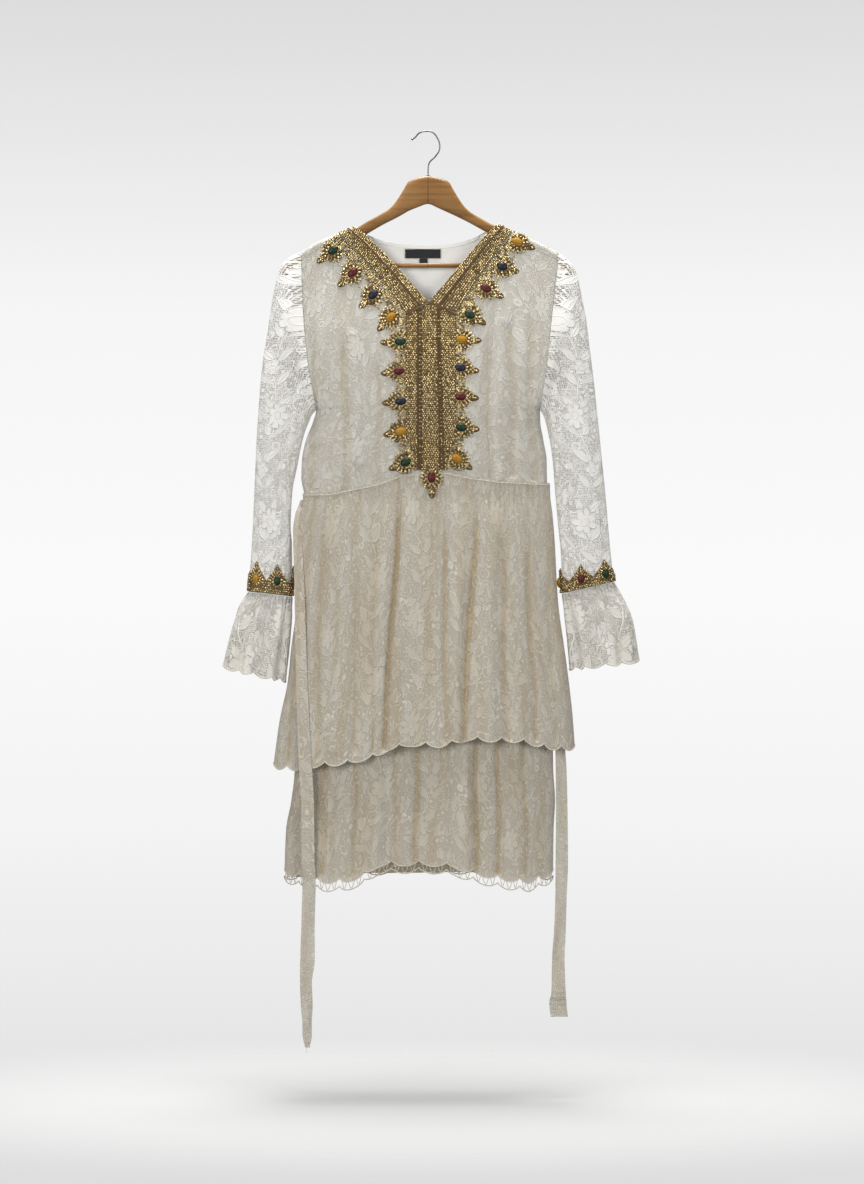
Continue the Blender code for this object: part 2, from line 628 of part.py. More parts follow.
def build_tiers(lace):
    lapped_front = tuple(Point(p.x, p.z + TIER_LAP) for p in WAIST_FRONT)
    lapped_back = tuple(Point(p.x, p.z + TIER_LAP) for p in WAIST_BACK)
    lower_top = (Point(-220.0, LOWER_TIER_TOP), Point(220.0, LOWER_TIER_TOP))
    tier("tier_upper_front", -1, UPPER_TIER, UPPER_FOLDS_FRONT, lapped_front, UPPER_HEM_FRONT, 14, 4, 5, lace)
    tier("tier_upper_back", 1, UPPER_TIER, UPPER_FOLDS_BACK, lapped_back, UPPER_HEM_BACK, 14, 3, 5, lace)
    tier("tier_lower_front", -1, LOWER_TIER, LOWER_FOLDS_FRONT, lower_top, LOWER_HEM_FRONT, 12, 4, 4, lace, True)
    tier("tier_lower_back", 1, LOWER_TIER, LOWER_FOLDS_BACK, lower_top, LOWER_HEM_BACK, 12, 4, 4, lace, True)


# Sleeves and cuffs
ARMHOLE_EASE = 3.0


def ring_point(rings, turn, v, waves=0.0, drop=0.0):
    """A point on a sleeve; turn is 0 at the outer edge and half a turn at the underarm edge."""
    place = v * (len(rings) - 1)
    row = int(limit(place, 0, len(rings) - 2))
    t = place - row
    before, after = rings[row], rings[row + 1]
    mixed = Ring(*(a + (b - a) * t for a, b in zip(before, after)))
    outer = Vector((mixed.outer_x, 0, mixed.outer_z))
    inner = Vector((mixed.inner_x, 0, mixed.inner_z))
    middle = (outer + inner) / 2
    half = (outer - inner) / 2
    angle = 2 * math.pi * turn
    along = math.copysign(abs(math.cos(angle)) ** (2 / RING_ROUND), math.cos(angle))
    side = math.copysign(abs(math.sin(angle)) ** (2 / RING_ROUND), math.sin(angle))
    grown = 1 + waves / half.length
    point = middle + half * along * grown
    point.y = -side * (mixed.depth + waves)
    point.z -= drop
    return point


def outward_sign(rings):
    """-1 on the left sleeve and 1 on the right, whose rings turn the other way."""
    return math.copysign(1, rings[0].outer_x)


def armhole_ring_point(rings, turn, inset):
    """The sleeve's top edge, which lies along the armhole with a seam's gap."""
    first = rings[0]
    angle = 2 * math.pi * turn
    half = (first.outer_z - first.inner_z) / 2 - inset
    z = (first.outer_z + first.inner_z) / 2
    z += half * math.copysign(abs(math.cos(angle)) ** (2 / RING_ROUND), math.cos(angle))
    outward = outward_sign(rings)
    x = curve(BODY, z, "left" if outward < 0 else "right")
    reach = body_reach(outward, x, z, inset)
    if abs(math.sin(angle)) < 1e-6:
        reach = 0.0
    return Vector((x + SEAM * outward, math.copysign(reach, -math.sin(angle)), z))


def sleeve_surface(rings, turn, v):
    """The sleeve, with its first ring laid along the armhole and the next ones easing away from it."""
    point = ring_point(rings, turn, v)
    place = v * (len(rings) - 1)
    if place < ARMHOLE_EASE:
        along_seam = armhole_ring_point(rings, turn, 0)
        point += (along_seam - ring_point(rings, turn, 0)) * (1 - place / ARMHOLE_EASE)
    return point


def build_sleeve(side, rings, lace):
    turned = outward_sign(rings)

    def point(u, v, inset):
        if v == 0:
            return armhole_ring_point(rings, u, inset)
        along = (1, 1, 0) if v == 1 else (1, 1, 1)
        return inwards(lambda a, b: sleeve_surface(rings, a, b), u, v, inset * turned, along)

    wall("sleeve_" + side, 16, len(rings) - 1, point, LACE_WALL, lace, ring=True)


def build_ruffle(side, rings, lace):
    turned = outward_sign(rings)

    def surface(turn, v):
        waves = RUFFLE_WAVE_DEPTH * v * math.cos(2 * math.pi * turn * RUFFLE_WAVES)
        drop = scallop(turn, RUFFLE_SCALLOPS, RUFFLE_SCALLOP_DROP) * v ** 6
        return ring_point(rings, turn, v, waves, drop)

    def point(u, v, inset):
        along = (1, 1, 0) if v in (0, 1) else (1, 1, 1)
        return inwards(surface, u, v, inset * turned, along)

    wall("cuff_ruffle_" + side, 36, len(rings) - 1, point, LACE_WALL, lace, ring=True)


def even_turns(rings, v, count):
    """Turns at equal lengths of cloth around the sleeve at v, as a table to read between."""
    steps = 180
    lengths = [0.0]
    last = ring_point(rings, 0, v)
    for i in range(1, steps + 1):
        here = ring_point(rings, i / steps, v)
        lengths.append(lengths[-1] + (here - last).length)
        last = here

    def turn(share):
        wanted = (share % 1) * lengths[-1]
        for i in range(steps):
            if wanted <= lengths[i + 1]:
                return (i + (wanted - lengths[i]) / (lengths[i + 1] - lengths[i])) / steps
        return 1.0

    return turn, lengths[-1]


CUFF_COLUMNS = 30
CUFF_FIRST = {"left": 0.115, "right": 0.105}
CUFF_RISE = 41.0


def cuff_profile(share, first):
    """Height of the cuff's pointed upper edge, a medallion's width for each fifth of the way round."""
    across = ((share - first) * CUFF_MEDALLIONS + 0.5) % 1 * 2 - 1
    body = CUFF_HEIGHT + (CUFF_POINT - CUFF_HEIGHT) * 0.62 * max(0, 1 - abs(across / 0.86) ** 2.6)
    point = (CUFF_POINT - CUFF_HEIGHT) * 0.38 * max(0, 1 - abs(across) / 0.34)
    return body + point


def cuff_point(rings, turn, height, lift):
    """A point on the cuff, a height above the sleeve's end and a lift out of its surface."""
    turned = outward_sign(rings)
    v = 1 - (height + 1.5) / (CUFF_RISE * (len(rings) - 1))
    return inwards(lambda a, b: ring_point(rings, a, b), turn, v, -lift * turned, (1, 1, 0))


def build_cuff(side, rings, gold, stone_finishes, colours):
    even, length = even_turns(rings, 0.97, CUFF_COLUMNS)
    first = CUFF_FIRST[side]

    def point(u, v, inset):
        share = u + first
        height = cuff_profile(share, first) * (1 - v)
        return cuff_point(rings, even(share), height, TRIM_GAP + TRIM_WALL - inset)

    wall("cuff_trim_" + side, CUFF_COLUMNS, 2, point, TRIM_WALL, gold, ring=True)
    for i, colour in enumerate(colours):
        share = first + i / CUFF_MEDALLIONS

        def place(across, up, lift):
            return cuff_point(rings, even(share + across / length), CUFF_STONE_HEIGHT + up, lift)

        stone("cuff_stone_%s_%d" % (side, i + 1), place, STONE_WIDTH * 0.9, STONE_LENGTH * 0.9, stone_finishes[colour])


def stone(name, place, width, length, finish):
    """An oval domed stone; place(across, up, lift) puts it on what carries it."""
    base = TRIM_GAP + TRIM_WALL + SEAM
    corners = 10
    layers = ((1.0, 0.0), (0.72, 0.72))
    shape = bmesh.new()
    loops = []
    for scale, rise in layers:
        corner_points = []
        for i in range(corners):
            angle = 2 * math.pi * i / corners
            across = width / 2 * scale * math.cos(angle)
            up = length / 2 * scale * math.sin(angle)
            corner_points.append(shape.verts.new(place(across, up, base + STONE_HEIGHT * rise) * MM))
        loops.append(corner_points)
    for i in range(corners):
        shape.faces.new((loops[0][i - 1], loops[0][i], loops[1][i], loops[1][i - 1]))
    top = shape.verts.new(place(0, 0, base + STONE_HEIGHT) * MM)
    for i in range(corners):
        shape.faces.new((loops[1][i - 1], loops[1][i], top))
    under = shape.verts.new(place(0, 0, base) * MM)
    for i in range(corners):
        shape.faces.new((loops[0][i], loops[0][i - 1], under))
    place_mesh(name, shape, finish)


# Gold trim on the bodice
WAIST_LIFT = 1.7
WAIST_SLOPE = 0.07


def no_lift(z):
    return 0.0


def waist_lift(z):
    """How far what crosses the waist seam stands out to lie on the gathered tier."""
    return WAIST_LIFT + WAIST_SLOPE * max(PLACKET[-1].z - z, 0)


def lying(name, columns, rows, place, finish, gaps=(), lift=no_lift):
    """A flat piece that lies on the bodice front; place(u, v) gives its x and z."""

    def point(u, v, inset):
        x, z = place(u, v)
        return body_at(-1, x, z, -(TRIM_GAP + lift(z) + TRIM_WALL - inset))

    wall(name, columns, rows, point, TRIM_WALL, finish, gaps=gaps)


def along_line(points, share):
    """A point at a share of the length of a line of straight stretches."""
    lengths = [math.dist(a, b) for a, b in zip(points, points[1:])]
    wanted = limit(share, 0, 1) * sum(lengths)
    for start, end, length in zip(points, points[1:], lengths):
        if wanted <= length + 1e-9:
            t = wanted / length
            return start.x + (end.x - start.x) * t, start.z + (end.z - start.z) * t
        wanted -= length
    return points[-1]


BAND_SHARES = (0, 0.02, 0.06, 0.14, 0.28, 0.42, 0.56, 0.7, 0.85, 1.0)


def build_neck_band(side, outer_edge, gold):
    """The gold band along one side of the V, mitred on the head of the placket."""
    if side == "left":
        inner_edge = V_NECK[:6]
        start = Point(NECK_LEFT - 0.5, ridge(NECK_LEFT) - 2.0)
        foot = Point(0.5 - HALF_SEAM, PLACKET[0].z + 1.2)
    else:
        inner_edge = V_NECK[5:][::-1]
        start = Point(NECK_RIGHT + 0.5, ridge(NECK_RIGHT) - 2.0)
        foot = Point(0.5 + HALF_SEAM, PLACKET[0].z + 1.2)
    inner_edge = (start,) + tuple(inner_edge[1:-1]) + (foot,)

    def place(u, v):
        share = BAND_SHARES[round(v * (len(BAND_SHARES) - 1))]
        inner_x, inner_z = along_line(inner_edge, share)
        outer_x, outer_z = along_line(outer_edge, share)
        return outer_x + (inner_x - outer_x) * u, outer_z + (inner_z - outer_z) * u

    lying("neck_band_" + side, 2, len(BAND_SHARES) - 1, place, gold)


def build_placket(gold):
    """The gold panel down the front, with a pointed head between the two neck bands."""

    def place(u, v):
        row = PLACKET[round(v * (len(PLACKET) - 1))]
        x = row.left + (row.right - row.left) * u
        z = row.z
        if v == 0:
            z -= PLACKET_SLOPE * abs(x - (row.left + row.right) / 2) + SEAM
        return x, z

    lying("placket", 6, len(PLACKET) - 1, place, gold)


MEDALLION_BACK = 14.0
MEDALLION_FEET = (-11.0, -5.5, 0.0, 5.5, 11.0)
LOOP_SHARE = 0.62
OPEN_LOOPS = 3
RIDGE_MARGIN = 5.0


def nearest_share(points, spot):
    """The share of a line's length at which it passes nearest to a spot."""
    steps = 200
    return min((i / steps for i in range(steps + 1)), key=lambda t: math.dist(along_line(points, t), spot))


def medallion_edge(gem, reach):
    """Five points around a medallion's outer side, from one flank over the tip to the other."""
    centre = Vector((gem.x, gem.z))
    ahead = (Vector((gem.tip_x, gem.tip_z)) - centre).normalized()
    side = Vector((-ahead.y, ahead.x)) * reach
    tip = Vector((gem.tip_x, gem.tip_z))
    return (
        centre + side * 15.5 + ahead * 1.5,
        centre + side * 11.5 + ahead * 13,
        tip,
        centre - side * 11.5 + ahead * 13,
        centre - side * 15.5 + ahead * 1.5,
    )


def build_applique(side, gems, base_edge, gold):
    """The scalloped row of medallions; open loops lie between them and the neck band."""
    reach = -1 if side == "left" else 1
    length = sum(math.dist(a, b) for a, b in zip(base_edge, base_edge[1:]))
    stands = []
    for gem in gems:
        ahead = Vector((gem.tip_x - gem.x, gem.tip_z - gem.z)).normalized()
        behind = Vector((gem.x, gem.z)) - ahead * MEDALLION_BACK
        stands.append(nearest_share(base_edge, behind))
    outer = []
    shares = []
    notches = []
    for i, gem in enumerate(gems):
        edge = medallion_edge(gem, reach)
        if i:
            notches.append(len(outer))
            outer.append((outer[-1] + edge[0]) / 2)
            shares.append((stands[i] + stands[i - 1]) / 2)
        outer.extend(edge)
        shares.extend(stands[i] + step / length for step in MEDALLION_FEET)
    columns = len(outer) - 1

    def place(u, v):
        column = round(u * columns)
        base = Vector(along_line(base_edge, shares[column]))
        spot = outer[column]
        middle = base + (spot - base) * (LOOP_SHARE if column in notches else 0.45)
        spot = (base, middle, spot)[round(v * 2)]
        return spot.x, min(spot.y, ridge(spot.x) - RIDGE_MARGIN)

    gaps = {(column + step, 0) for column in notches[:OPEN_LOOPS] for step in (-1, 0)}
    lying("applique_" + side, columns, 2, place, gold, gaps)


def build_bottom_medallion(gem, gold):
    """The last medallion, point down, under the placket's foot."""
    half = 16.5
    top = PLACKET[-1].z - SEAM

    def place(u, v):
        across = 2 * u - 1
        point_share = 1 - abs(across) ** 1.25
        low = gem.z + 2 + (gem.tip_z - gem.z - 2) * (0.3 * arch(across, 2) + 0.7 * point_share)
        return gem.x + half * across, top + (low - top) * v

    lying("applique_bottom", 8, 3, place, gold, lift=waist_lift)


def stones_on_bodice(gems, label, finishes, raised=no_lift):
    for i, gem in enumerate(gems):
        ahead = Vector((gem.tip_x - gem.x, gem.tip_z - gem.z)).normalized()

        def place(across, up, lift):
            x = gem.x + across * -ahead.y + up * ahead.x
            z = gem.z + across * ahead.x + up * ahead.y
            return body_at(-1, x, z, -lift - raised(z))

        stone("stone_%s_%d" % (label, i + 1), place, STONE_WIDTH, STONE_LENGTH, finishes[gem.colour])


# What lies inside the back neck
BINDING_DROP = 0.6
BINDING_DEPTH = 5.0
BINDING_LEFT = -82.0
BINDING_RIGHT = 76.0
LABEL_BOX = (-34.5, 18.8, -174.8, -188.2)
TAB_BOX = (-12.8, -0.8, -188.6, -198.0)


def build_back_neck(plain, label_cloth):
    inside = LINING_INSIDE + TRIM_GAP

    def binding(u, v, inset):
        x = BINDING_LEFT + (BINDING_RIGHT - BINDING_LEFT) * u
        z = straight(BACK_NECK, x) - BINDING_DROP - BINDING_DEPTH * v
        return body_at(1, x, z, inside + LABEL_WALL - inset)

    wall("neck_binding_back", 16, 1, binding, LABEL_WALL, plain)

    def patch(box):
        left, right, top, low = box

        def point(u, v, inset):
            return body_at(1, left + (right - left) * u, top + (low - top) * v, inside + LABEL_WALL - inset)

        return point

    wall("neck_label", 4, 1, patch(LABEL_BOX), LABEL_WALL, label_cloth)
    wall("size_tab", 2, 1, patch(TAB_BOX), LABEL_WALL, label_cloth)


# Ties
TIE_CLEARANCE = 3.0


def upper_tier_reach(x, z):
    """How far the front of the upper tier stands out at a place, held at its hem's depth below it."""
    left = curve(UPPER_TIER, z, "left")
    right = curve(UPPER_TIER, z, "right")
    s = limit((2 * x - left - right) / (right - left), -1, 1)
    share = limit((WAIST_FRONT[0].z - z) / (WAIST_FRONT[0].z - UPPER_HEM_FRONT[0].z), 0, 1)
    folds = fold_depth(UPPER_FOLDS_FRONT, x, share)
    return curve(UPPER_TIER, z, "depth") * arch(s, BODY_ROUND) + folds * (1 - abs(s) ** 8)


def build_tie(name, bands, lace, over_tier=False):
    sections = []
    for band in bands:
        turn = math.radians(band.turn)
        across = Vector((math.cos(turn), math.sin(turn), 0)) * band.width / 2
        out = Vector((math.sin(turn), -math.cos(turn), 0)) * TIE_WALL / 2
        y = band.y
        if over_tier:
            reaches = [upper_tier_reach(band.x + band.width * step, band.z) for step in (-0.5, -0.2, 0.2, 0.5)]
            y = min(y, -max(reaches) - TIE_CLEARANCE)
        middle = Vector((band.x, y, band.z))
        sections.append((middle - across - out, middle - across + out, middle + across + out, middle + across - out))
    loft(name, sections, lace)


# Hanger
def build_hanger(wood, wire):
    half = ARM_THICKNESS / 2
    sections = []
    for arm in ARMS:
        cut = min(ARM_CHAMFER, (arm.top - arm.under) / 3)
        flat = half - cut
        sections.append([
            Vector((arm.x, y, z))
            for y, z in (
                (-flat, arm.top), (flat, arm.top), (half, arm.top - cut), (half, arm.under + cut),
                (flat, arm.under), (-flat, arm.under), (-half, arm.under + cut), (-half, arm.top - cut),
            )
        ])
    loft("hanger_body", sections, wood)

    corners = 12
    ends = []
    for direction in (-1, 1):
        end = []
        for i in range(corners):
            angle = 2 * math.pi * i / corners
            z = BAR_HEIGHT + BAR_DIAMETER / 2 * math.sin(angle)
            x = bar_end(direction, z + 0.4)
            end.append(Vector((x, BAR_DIAMETER / 2 * math.cos(angle), z)))
        ends.append(end)
    loft("hanger_bar", ends, wood)
    build_hook(wire)


def bar_end(direction, z):
    """Where the arm's under edge is at height z, so that the bar's end lies against it."""
    edge = [arm for arm in ARMS if direction * arm.x > 100]
    for first, second in zip(edge, edge[1:]):
        low, high = sorted((first.under, second.under))
        if low <= z <= high:
            share = (z - first.under) / (second.under - first.under)
            return first.x + (second.x - first.x) * share
    return direction * 170.0


WIRE_SIDES = 8
WIRE_BALL = (Ball(0.0, 0.6), Ball(0.1, 1.45), Ball(0.24, 1.85), Ball(0.4, 1.5), Ball(0.5, 1.1))


def build_hook(wire):
    """The bent wire, round in section, with a small ball at its tip."""
    tip, bend = HOOK_ROUTE[:2]
    stations = [
        (Point(tip.x + (bend.x - tip.x) * ball.share, tip.z + (bend.z - tip.z) * ball.share), ball.radius)
        for ball in WIRE_BALL
    ]
    stations += [(place, WIRE_DIAMETER / 2) for place in HOOK_ROUTE[1:]]
    sections = []
    for i, (place, radius) in enumerate(stations):
        before = stations[max(i - 1, 0)][0]
        after = stations[min(i + 1, len(stations) - 1)][0]
        along = Vector((after.x - before.x, 0, after.z - before.z)).normalized()
        side = Vector((-along.z, 0, along.x))
        section = []
        for corner in range(WIRE_SIDES):
            angle = 2 * math.pi * corner / WIRE_SIDES
            middle = Vector((place.x, 0, place.z))
            section.append(middle + (side * math.cos(angle) + Vector((0, 1, 0)) * math.sin(angle)) * radius)
        sections.append(section)
    loft("hanger_hook", sections, wire)


def clear_scene():
    for thing in list(bpy.data.objects):
        bpy.data.objects.remove(thing, do_unlink=True)


def build_dress():
    clear_scene()
    lace = material("lace", (0.62, 0.59, 0.52), 0.8)
    plain = material("lining", (0.66, 0.60, 0.49), 0.7)
    gold = material("gold_trim", (0.42, 0.27, 0.08), 0.4, 0.5)
    wood = material("hanger_wood", (0.32, 0.13, 0.04), 0.45)
    wire = material("hook_wire", (0.2, 0.2, 0.2), 0.3, 1.0)
    label_cloth = material("label_cloth", (0.01, 0.01, 0.012), 0.8)
    finishes = {
        "green": material("stone_green", (0.01, 0.06, 0.02), 0.25),
        "red": material("stone_red", (0.18, 0.005, 0.012), 0.25),
        "navy": material("stone_navy", (0.01, 0.018, 0.05), 0.25),
        "yellow": material("stone_yellow", (0.6, 0.28, 0.01), 0.35),
    }
    build_hanger(wood, wire)
    build_lining(plain)
    build_bodice(lace)
    build_tiers(lace)
    build_sleeve("left", SLEEVE_LEFT, lace)
    build_sleeve("right", SLEEVE_RIGHT, lace)
    build_ruffle("left", RUFFLE_LEFT, lace)
    build_ruffle("right", RUFFLE_RIGHT, lace)
    build_cuff("left", SLEEVE_LEFT, gold, finishes, ("yellow", "green", "red", "navy", "yellow"))
    build_cuff("right", SLEEVE_RIGHT, gold, finishes, ("green", "red", "yellow", "navy", "red"))
    build_neck_band("left", BAND_OUTER_LEFT, gold)
    build_neck_band("right", BAND_OUTER_RIGHT, gold)
    build_placket(gold)
    build_applique("left", MEDALLIONS_LEFT, BASE_LEFT, gold)
    build_applique("right", MEDALLIONS_RIGHT, BASE_RIGHT, gold)
    build_bottom_medallion(MEDALLION_BOTTOM, gold)
    stones_on_bodice(MEDALLIONS_LEFT, "left", finishes)
    stones_on_bodice(MEDALLIONS_RIGHT, "right", finishes)
    stones_on_bodice((MEDALLION_BOTTOM,), "bottom", finishes, waist_lift)
    build_back_neck(plain, label_cloth)
    build_tie("tie_left", TIE_LEFT, lace, over_tier=True)
    build_tie("tie_right", TIE_RIGHT, lace)


build_dress()
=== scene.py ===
"""A party dress of corded floral lace with a jewelled gold neckline, on a wooden hanger.

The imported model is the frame: +X to the right as seen from the front, the front faces -Y,
+Z is up, and the origin is the inside top of the hanger's hook. Tables are in millimetres.
"""
import math
from collections import namedtuple

import bmesh
import bpy
import numpy as np
from mathutils import Matrix, Vector


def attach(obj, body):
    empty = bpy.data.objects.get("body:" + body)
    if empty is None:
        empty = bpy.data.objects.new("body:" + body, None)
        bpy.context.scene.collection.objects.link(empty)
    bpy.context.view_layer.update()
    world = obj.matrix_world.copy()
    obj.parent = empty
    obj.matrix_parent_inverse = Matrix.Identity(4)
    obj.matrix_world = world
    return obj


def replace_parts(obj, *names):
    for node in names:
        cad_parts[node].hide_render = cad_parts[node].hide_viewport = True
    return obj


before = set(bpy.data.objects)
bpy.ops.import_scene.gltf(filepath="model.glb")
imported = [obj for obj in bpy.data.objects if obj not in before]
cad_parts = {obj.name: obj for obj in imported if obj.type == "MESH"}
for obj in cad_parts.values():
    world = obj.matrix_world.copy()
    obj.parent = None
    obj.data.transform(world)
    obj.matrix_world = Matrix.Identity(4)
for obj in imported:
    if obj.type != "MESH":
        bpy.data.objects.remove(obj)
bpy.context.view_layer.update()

# Camera: square on from the front at the height of the waist, about four metres away.
# A long lens keeps the hanging dress free of perspective.
CAMERA_PLACE = (0.006, -3.947, -0.690)


def show(name, data):
    """A new object in the scene, made of a mesh, curve, lamp or camera."""
    holder = bpy.data.objects.new(name, data)
    bpy.context.scene.collection.objects.link(holder)
    return holder


lens = bpy.data.cameras.new("camera")
lens.lens = 80
lens.sensor_width = 36
camera = show("camera", lens)
camera.location = CAMERA_PLACE
camera.rotation_euler = (math.radians(90), 0, 0)
bpy.context.scene.camera = camera
bpy.context.scene.view_settings.view_transform = "Standard"

# Studio: a pale floor that fades into a pale room, with one large soft lamp overhead.
# The lamp gives the soft shadow under the dress, and the room lights it from all sides.
FLOOR_HEIGHT = -1.45
FLOOR_RADIUS = 6
FLOOR_GREY = 0.64
FADE_START, FADE_END = 0.12, 0.58
ROOM_GLOW = 0.34
ROOM_SPAN = 0.24
Shade = namedtuple("Shade", "place grey")


def rows(kind, *values):
    """A table: one row of a kind for each tuple of its values."""
    return tuple(kind(*row) for row in values)


# Painted light: the room's grey as the camera sees it, brightest level with the camera and darker above and
# below, stands in for how the studio light falls off across the backdrop.
PAINTED_BACKDROP_FALLOFF = rows(
    Shade, (0, 0.70), (0.16, 0.80), (0.32, 0.90), (0.5, 0.955), (0.72, 0.92), (0.86, 0.80), (1, 0.68),
)


def join(tree, start, end):
    tree.links.new(start, end)


def node(tree, kind, inputs=(), **settings):
    """A shader node with its inputs set to values, or joined to other nodes' sockets."""
    made = tree.nodes.new("ShaderNode" + kind)
    for name, value in settings.items():
        setattr(made, name, value)
    for place, value in dict(inputs).items():
        if isinstance(value, bpy.types.NodeSocket):
            join(tree, value, made.inputs[place])
        else:
            made.inputs[place].default_value = value
    return made


def new_finish(name, roughness=0.7, metallic=0.0):
    finish = bpy.data.materials.new(name)
    finish.use_nodes = True
    shader = finish.node_tree.nodes["Principled BSDF"]
    shader.inputs["Roughness"].default_value = roughness
    shader.inputs["Metallic"].default_value = metallic
    return finish, finish.node_tree, shader


room = bpy.data.worlds.new("room")
bpy.context.scene.world = room
room.use_nodes = True
tree = room.node_tree
tree.nodes.clear()
direction = node(tree, "SeparateXYZ", {0: node(tree, "TexCoord").outputs["Generated"]}).outputs["Z"]
height = node(tree, "MapRange", {"Value": direction, "From Min": -ROOM_SPAN, "From Max": ROOM_SPAN})
shade = node(tree, "ValToRGB", {0: height.outputs[0]})
while len(shade.color_ramp.elements) < len(PAINTED_BACKDROP_FALLOFF):
    shade.color_ramp.elements.new(0.5)
for stop, wanted in zip(shade.color_ramp.elements, PAINTED_BACKDROP_FALLOFF):
    stop.position = wanted.place
    stop.color = (wanted.grey, wanted.grey, wanted.grey, 1)
# The camera sees the painted falloff, and the room lights the dress and floor with an even glow.
seen = node(tree, "Background", {"Color": shade.outputs[0]})
lighting = node(tree, "Background", {"Color": (1.0, 0.99, 0.97, 1), "Strength": ROOM_GLOW})
looking = node(tree, "LightPath").outputs["Is Camera Ray"]
mixed = node(tree, "MixShader", {0: looking, 1: lighting.outputs[0], 2: seen.outputs[0]})
node(tree, "OutputWorld", {0: mixed.outputs[0]})

shape = bmesh.new()
bmesh.ops.create_circle(shape, cap_ends=True, segments=96, radius=FLOOR_RADIUS)
floor_mesh = bpy.data.meshes.new("floor")
shape.to_mesh(floor_mesh)
shape.free()
floor = show("floor", floor_mesh)
floor.location.z = FLOOR_HEIGHT
floor_finish, tree, painted = new_finish("floor", 0.9)
painted.inputs["Base Color"].default_value = (FLOOR_GREY, FLOOR_GREY, FLOOR_GREY, 1)
painted.inputs["Specular IOR Level"].default_value = 0.1
oval = node(tree, "Mapping", {"Vector": node(tree, "TexCoord").outputs["Object"], "Scale": (0.5, 1, 1)})
away = node(tree, "VectorMath", {0: oval.outputs[0]}, operation="LENGTH").outputs["Value"]
fade = node(tree, "MapRange", {"Value": away, "From Min": FADE_START, "From Max": FADE_END},
            interpolation_type="SMOOTHSTEP")
clear = node(tree, "BsdfTransparent")
blend = node(tree, "MixShader", {0: fade.outputs[0], 1: painted.outputs[0], 2: clear.outputs[0]})
join(tree, blend.outputs[0], tree.nodes["Material Output"].inputs[0])
floor_mesh.materials.append(floor_finish)

Lamp = namedtuple("Lamp", "name place aim size watts")
LAMPS = rows(
    Lamp,
    ("overhead", (0, 0, 1.9), (0, 0, FLOOR_HEIGHT), 1.6, 120),
    ("front_left", (-2.2, -3.4, 0.2), (0, 0, -0.7), 1.8, 70),
    ("front_right", (2.4, -3.2, -0.1), (0, 0, -0.7), 1.8, 35),
)
for lamp in LAMPS:
    light = bpy.data.lights.new(lamp.name, "AREA")
    light.shape = "DISK"
    light.size = lamp.size
    light.energy = lamp.watts
    holder = show(lamp.name, light)
    holder.location = lamp.place
    holder.rotation_euler = (Vector(lamp.aim) - Vector(lamp.place)).to_track_quat("-Z", "Y").to_euler()

# Hanger: varnished wood in two halves glued at the middle, with rounded edges.
# Its arms run down under the shoulders, and a round bar joins them.
Arm = namedtuple("Arm", "x top under")
Point = namedtuple("Point", "x z")
ARMS = rows(
    Arm,
    (-217.5, -206, -218), (-214, -201.5, -221), (-207, -194.8, -217.5), (-196, -188.4, -211.5),
    (-184.5, -182.1, -204.8), (-171, -172.8, -196.5), (-147, -161.4, -183.3), (-124.5, -152.3, -171),
    (-112.5, -147.4, -164.4), (-94.5, -136.6, -154.5), (-67.5, -121.5, -138.8), (-57, -114.8, -133.5),
    (-49.5, -106.5, -129.8), (-36, -85.5, -122.5), (-30, -75, -119), (-15, -68.3, -112.8), (0, -65.7, -108),
    (15, -68.3, -114), (31.5, -75, -121.5), (37.5, -85.5, -124.2), (52.5, -109.5, -131.2), (63, -120, -136.5),
    (78, -129, -144.8), (93, -137.3, -153.4), (105, -143, -160), (123, -152, -169.8), (147, -161.9, -183),
    (172.5, -173.2, -196.5), (184.5, -180.4, -204.8), (196, -187.2, -211), (206, -195, -216.5),
    (212, -201, -220), (215.5, -206, -217),
)
ARM_DEPTH = 14.0
ARM_STATIONS = 150
ARM_CORNERS = 20
ARM_SQUARENESS = 0.55
ARM_END = 5.0
BAR_DIAMETER = 7.0
BAR_LEFT, BAR_RIGHT, BAR_HEIGHT = -126.0, 132.0, -200.2
MM = 0.001


def smooth_between(stops, values, at):
    """Values between stops, along a smooth curve with no overshoot."""
    stops = np.array(stops, float)
    values = np.array(values, float)
    at = np.clip(np.asarray(at, float), stops[0], stops[-1])
    spans = np.diff(stops)
    slopes = np.diff(values) / spans
    before = np.concatenate((slopes[:1], slopes))
    after = np.concatenate((slopes, slopes[-1:]))
    turns = before * after <= 0
    tangents = np.where(turns, 0, 2 * before * after / np.where(turns, 1, before + after))
    place = np.clip(np.searchsorted(stops, at, side="right") - 1, 0, len(spans) - 1)
    span = spans[place]
    t = (at - stops[place]) / span
    smooth = values[place] * (2 * t**3 - 3 * t**2 + 1) + values[place + 1] * (3 * t**2 - 2 * t**3)
    return smooth + span * tangents[place] * (t**3 - 2 * t**2 + t) + span * tangents[place + 1] * (t**3 - t**2)


def read(table, at, column, key=0):
    """One column of a table at places between its rows."""
    rows = table if table[0][key] < table[-1][key] else table[::-1]
    return smooth_between([row[key] for row in rows], [getattr(row, column) for row in rows], at)


def placed(name, data, slot):
    """A mesh or curve as a named object that rides on the dress's one body."""
    piece = show(name, data)
    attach(piece, "root")
    return piece


def new_piece(name, shape, finish, slot):
    """A bmesh as a smooth piece of one finish."""
    mesh = bpy.data.meshes.new(name)
    shape.to_mesh(mesh)
    shape.free()
    mesh.materials.append(finish)
    mesh.polygons.foreach_set("use_smooth", [True] * len(mesh.polygons))
    return placed(name, mesh, slot)


def bumped(tree, shader, level, depth, strength=1.0):
    bump = node(tree, "Bump", {"Distance": depth, "Strength": strength, "Height": level})
    join(tree, bump.outputs[0], shader.inputs["Normal"])


def blend_colours(tree, share, first, second):
    """Mixes two colours, each a socket or a plain colour, by a share."""
    first, second = ((*colour, 1) if isinstance(colour, tuple) else colour for colour in (first, second))
    return node(tree, "Mix", {0: share, 6: first, 7: second}, data_type="RGBA").outputs[2]


